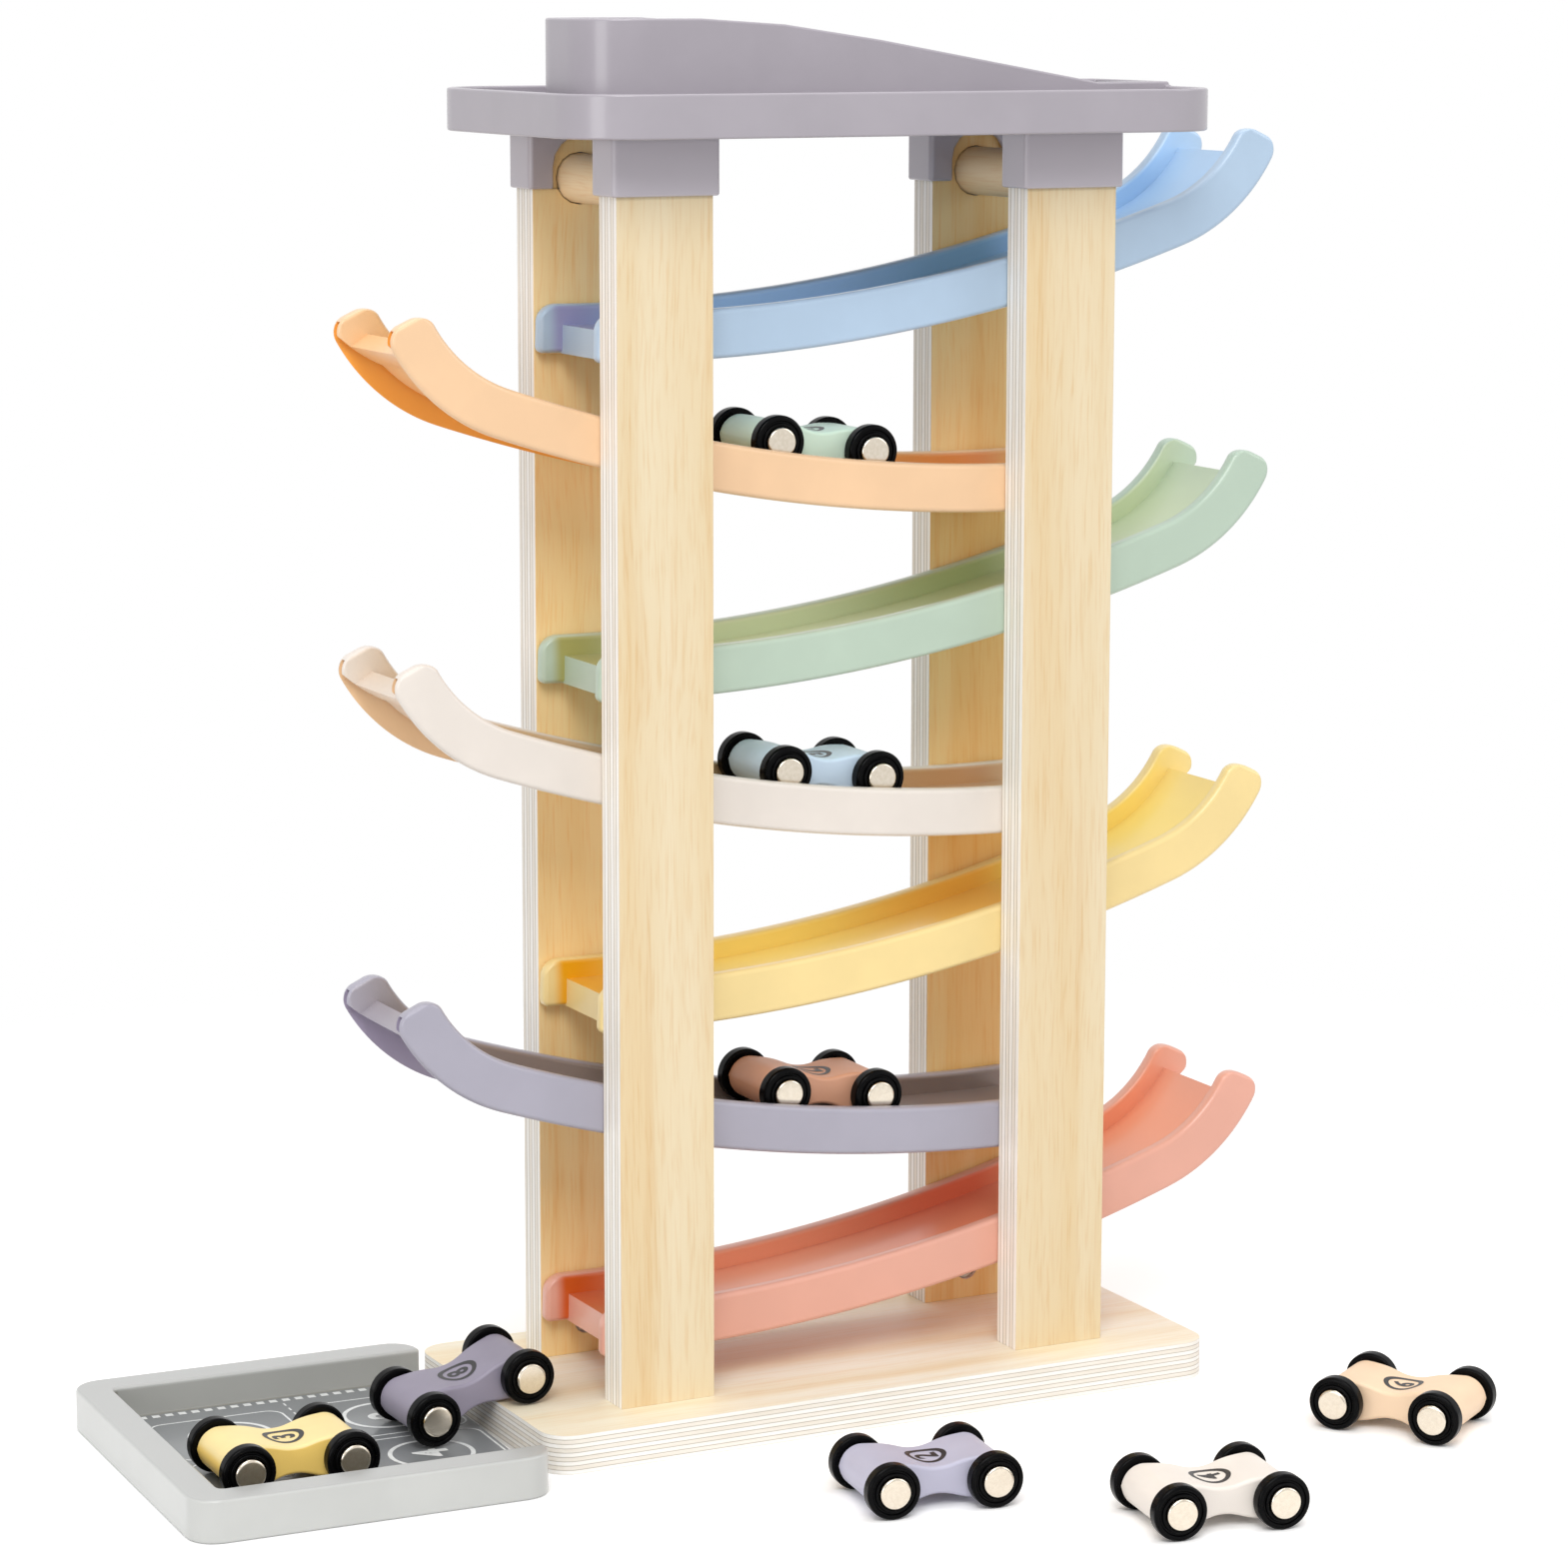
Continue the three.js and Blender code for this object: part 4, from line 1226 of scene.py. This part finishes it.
# %% Car bodies
CAR_TINTS = {
    "mint_car": "#dcf4e0", "sky_car": "#d4e9fd", "brown_car": "#dba283", "lavender_car": "#c0bed2",
    "white_car": "#f2e9e0", "peach_car": "#f8d8b6", "yellow_car": "#fbe3a0", "purple_car": "#968fa0",
}
# A deeper tint on a car's flanks, as painted shade.
FLANK_SHADE_TINTS = {"yellow_car": "#ffd873"}
HALF_BASE = 16 * MM
END_RADIUS = 6.4 * MM
WAIST = 4.1 * MM
SADDLE_HANDLE = 5.6 * MM
HALVINGS = 40
FLANK = 11.95 * MM
WAIST_NARROWING = 3 * MM
BODY_EDGE = 1.1 * MM
BODY_STATIONS = 72
CORNER_STEPS = 5
THINNEST = 0.02 * MM
EDGE_SHARE = 0.95
MESH_MERGE = 1e-6
PAINT_CLOUD = 60.0
PAINT_FLECK = (260.0, 260.0, 900.0)
PAINT_DRIFT = 0.93
PAINT_EDGES = (0.3, 0.7)
FLANK_SHADE_FACING = (0.1, 0.5)
PAINT_ROUGHNESS = (0.44, 0.1)
PAINT_RELIEF = (0.06, 0.1 * MM)
PAINT_COAT = {"Coat Weight": 0.1, "Coat Roughness": 0.25}


def saddle(x):
    """Half the body's height at a distance from its middle. Between the round ends it is a Bezier curve, and
    halving finds the share t at which that curve reaches x."""
    x = abs(x)
    if x >= HALF_BASE:
        return math.sqrt(max(END_RADIUS ** 2 - (x - HALF_BASE) ** 2, 0.0))
    low, high = 0.0, 1.0
    for _ in range(HALVINGS):
        t = (low + high) / 2
        reached = (1 - t) ** 3 * HALF_BASE + 3 * (1 - t) * t * SADDLE_HANDLE
        low, high = (t, high) if reached > x else (low, t)
    blend = (1 - t) ** 3 + 3 * (1 - t) ** 2 * t
    return WAIST + (END_RADIUS - WAIST) * blend


def flank(x):
    """Half the body's width at a distance from its middle."""
    if abs(x) >= HALF_BASE:
        return FLANK
    t = (x + HALF_BASE) / (2 * HALF_BASE)
    return FLANK - 2 * WAIST_NARROWING * t * (1 - t)


def body_ring(x):
    """The outline of the body at a distance from its middle: a rectangle with rounded corners."""
    tall = max(saddle(x), THINNEST)
    soft = min(BODY_EDGE, tall * EDGE_SHARE)
    ring = []
    for quarter in range(4):
        y = (flank(x) - soft) * (1 if quarter in (0, 3) else -1)
        z = (tall - soft) * (1 if quarter in (0, 1) else -1)
        for k in range(CORNER_STEPS + 1):
            turn = math.pi / 2 * (quarter + k / CORNER_STEPS)
            ring.append((x, y + soft * math.cos(turn), z + soft * math.sin(turn)))
    return ring


def outward_mesh(name, verts, faces, material, smooth):
    """A mesh with its doubles merged and its faces pointing outwards, in one finish."""
    mesh = bpy.data.meshes.new(name)
    mesh.from_pydata(verts, [], faces)
    work = bmesh.new()
    work.from_mesh(mesh)
    bmesh.ops.remove_doubles(work, verts=work.verts, dist=MESH_MERGE)
    bmesh.ops.recalc_face_normals(work, faces=work.faces)
    work.to_mesh(mesh)
    work.free()
    mesh.materials.append(material)
    shade(mesh, smooth)
    return mesh


def body_mesh(name, place, material):
    end = HALF_BASE + END_RADIUS
    spots = [-end * math.cos(math.pi * i / BODY_STATIONS) for i in range(BODY_STATIONS + 1)]
    rings = [body_ring(x) for x in spots]
    count = len(rings[0])
    verts = [place @ Vector(point) for ring in rings for point in ring]
    faces = []
    for i in range(BODY_STATIONS):
        for k in range(count):
            a, b = i * count + k, i * count + (k + 1) % count
            faces.append((a, b, b + count, a + count))
    faces.append(tuple(reversed(range(count))))
    faces.append(tuple(range(BODY_STATIONS * count, (BODY_STATIONS + 1) * count)))
    return outward_mesh(name, verts, faces, material, SOFT_SMOOTH)


def painted(name, code, flank_shade_code):
    """Satin paint over close-grained wood. The flanks can take a deeper tint than the top, as painted shade.
    """
    material, tree = new_material(name)
    place, _ = object_place(tree)
    fleck = stretched_noise(place, PAINT_FLECK, 3.0)
    cloud = even_noise(place, PAINT_CLOUD, 2.0)
    colour = blend_colour(cloud.step(*PAINT_EDGES), dimmed(tint(code), PAINT_DRIFT), tint(code))
    # Painted shade: faces that do not point up take the deeper flank tint.
    colour = blend_colour(face_normal(tree)[Z_AXIS].step(*FLANK_SHADE_FACING), tint(flank_shade_code), colour)
    least, spread = PAINT_ROUGHNESS
    surface(tree, colour, least + fleck * spread, (fleck, *PAINT_RELIEF), PAINT_COAT)
    return material


for car, place in car_frames.items():
    paint = painted("paint " + car, CAR_TINTS[car], FLANK_SHADE_TINTS.get(car, CAR_TINTS[car]))
    name = car + "_painted_body"
    link_piece(name, body_mesh(name, place, paint), car, car + "_paint", car + "_body")
print("painted bodies:", len(car_frames))

# %% [markdown]
# Every car wears a number in a ring. The flat shapes are laid on the saddle by its own formula, just above
# the paint, so that they follow its curve without a gap.

# %% Car numbers
NUMBER_HEIGHT = 6.8 * MM
NUMBER_RING = (4.6 * MM, 6.1 * MM)
INK_LIFT = 0.1 * MM
BLACK_INK = "#1d1b1d"


def flat_ring(inner, outer):
    turns = np.arange(RING_SIDES) * (2 * math.pi / RING_SIDES)
    circle = np.stack([np.cos(turns), np.sin(turns)], axis=1)
    points = np.concatenate([circle * inner, circle * (inner + outer) / 2, circle * outer])
    faces = []
    for row in range(2):
        for k in range(RING_SIDES):
            a, b = row * RING_SIDES + k, row * RING_SIDES + (k + 1) % RING_SIDES
            faces.append((a, b, b + RING_SIDES, a + RING_SIDES))
    return points, faces


def on_saddle(place):
    """Print lies in the saddle, and the digit's top points to the car's rear."""
    return lambda x, y: place @ Vector((-y, x, saddle(y) + INK_LIFT))


black_ink = ink("black ink", BLACK_INK)
for car, place in car_frames.items():
    name = car + "_number"
    shapes = [flat_digit(CAR_NUMBERS[car], NUMBER_HEIGHT), flat_ring(*NUMBER_RING)]
    link_piece(name, laid_print(name, shapes, on_saddle(place), black_ink), car, car + "_paint")
print("car numbers:", len(CAR_NUMBERS))

# %% [markdown]
# A wheel set is a lathe job: a black stepped tyre on each side and a bright pressed cap in its middle. The
# profile is a short list of corners, and it is turned about the axle.

# %% Wheels
WHEEL_SIDES = 64
WHEEL_SMOOTH = 38.0
CURVE_STEPS = 6
# For each corner: its radius, its distance from the car's middle and its rounding, in millimetres.
TYRE_CORNERS = [
    (1.2, 0.0, 0.0), (1.2, 12.45, 0.0), (8.2, 12.45, 0.8), (8.2, 16.85, 1.15), (6.7, 16.85, 0.2),
    (6.5, 16.2, 0.15), (5.95, 16.2, 0.1), (5.8, 17.05, 0.3), (5.05, 17.0, 0.15), (4.85, 16.1, 0.0),
    (0.0, 16.1, 0.0),
]
CAP_CORNERS = [(0.0, 16.1, 0.0), (4.7, 16.1, 0.0), (4.7, 18.08, 0.85), (0.0, 18.12, 0.0)]
TYRE_NOISE = ((220.0, 220.0, 220.0), 3.0)
TYRE_BLACKS = (tint("#050506"), tint("#0a0a0b"))
TYRE_ROUGHNESS = (0.18, 0.1)
TYRE_RELIEF = (0.03, 0.05 * MM)
CAP_NOISE = ((900.0, 900.0, 900.0), 2.0)
CAP_BRIGHTS = (tint("#d9cebd"), tint("#e0d6c6"))
CAP_ROUGHNESS = (0.15, 0.08)
METAL = {"Metallic": 1.0}


def soft_profile(corners):
    """The corners as points, each with a rounding turned into a short curve."""
    points = []
    for i, (radius, reach, rounding) in enumerate(corners):
        corner = Vector((radius, reach))
        if rounding == 0.0:
            points.append(corner)
            continue
        before, after = [Vector(corners[k][:2]) for k in (i - 1, i + 1)]
        start = corner + (before - corner).normalized() * rounding
        end = corner + (after - corner).normalized() * rounding
        for k in range(CURVE_STEPS + 1):
            t = k / CURVE_STEPS
            points.append(start * (1 - t) ** 2 + corner * (2 * t * (1 - t)) + end * t * t)
    return points


def turned(profile, place, side):
    """A profile in millimetres turned about the axle, on the car's left or right."""
    verts, faces, rows = [], [], []
    for radius, reach in profile:
        sides = 1 if radius == 0.0 else WHEEL_SIDES
        rows.append(range(len(verts), len(verts) + sides))
        for k in range(sides):
            turn = 2 * math.pi * k / sides
            spot = Vector((radius * math.cos(turn), side * reach, radius * math.sin(turn)))
            verts.append(place @ (spot * MM))
    for first, second in zip(rows, rows[1:]):
        for k in range(WHEEL_SIDES):
            quad = [first[k % len(first)], first[(k + 1) % len(first)]]
            quad += [second[(k + 1) % len(second)], second[k % len(second)]]
            faces.append(tuple(dict.fromkeys(quad)))
    return verts, faces


def turned_pair(name, corners, place, material):
    profile = soft_profile(corners)
    verts, faces = together([turned(profile, place, side) for side in (-1, 1)])
    return outward_mesh(name, verts, faces, material, WHEEL_SMOOTH)


dull = {"Specular IOR Level": 0.07}
tyre_black = speckled("black wheel plastic", TYRE_NOISE, TYRE_BLACKS, TYRE_ROUGHNESS, TYRE_RELIEF, dull)
cap_metal = speckled("bright hub cap", CAP_NOISE, CAP_BRIGHTS, CAP_ROUGHNESS, None, METAL)
for car, place in car_frames.items():
    for end, reach in (("front", HALF_BASE), ("rear", -HALF_BASE)):
        axle = place @ Matrix.Translation((reach, 0, 0))
        body = car + "_" + end
        name = body + "_turned_wheels"
        tyres = turned_pair(name, TYRE_CORNERS, axle, tyre_black)
        link_piece(name, tyres, body, "black_wheel", body + "_wheels")
        name = body + "_hub_caps"
        caps = turned_pair(name, CAP_CORNERS, axle, cap_metal)
        link_piece(name, caps, body, "black_wheel")
print("wheel sets:", 2 * len(car_frames))

# %% [markdown]
# The bolts and barrel nuts are plain zinc-plated steel. They keep their CAD mesh and get a metal finish
# with faint turning marks.

# %% Steel
STEEL_PIECES = ("base_bolt", "barrel_nut")
ZINC_NOISE = ((900.0, 900.0, 2600.0), 2.0)
ZINC_TINTS = (tint("#a9a59c"), tint("#cfccc4"))
ZINC_ROUGHNESS = (0.30, 0.15)
ZINC_RELIEF = (0.08, 0.1 * MM)
zinc = speckled("zinc plate", ZINC_NOISE, ZINC_TINTS, ZINC_ROUGHNESS, ZINC_RELIEF, METAL)
steel = [node for name, node in nodes.items() if name.startswith(STEEL_PIECES)]
for node in steel:
    node.data.materials.clear()
    node.data.materials.append(zinc)
print("steel pieces:", len(steel))
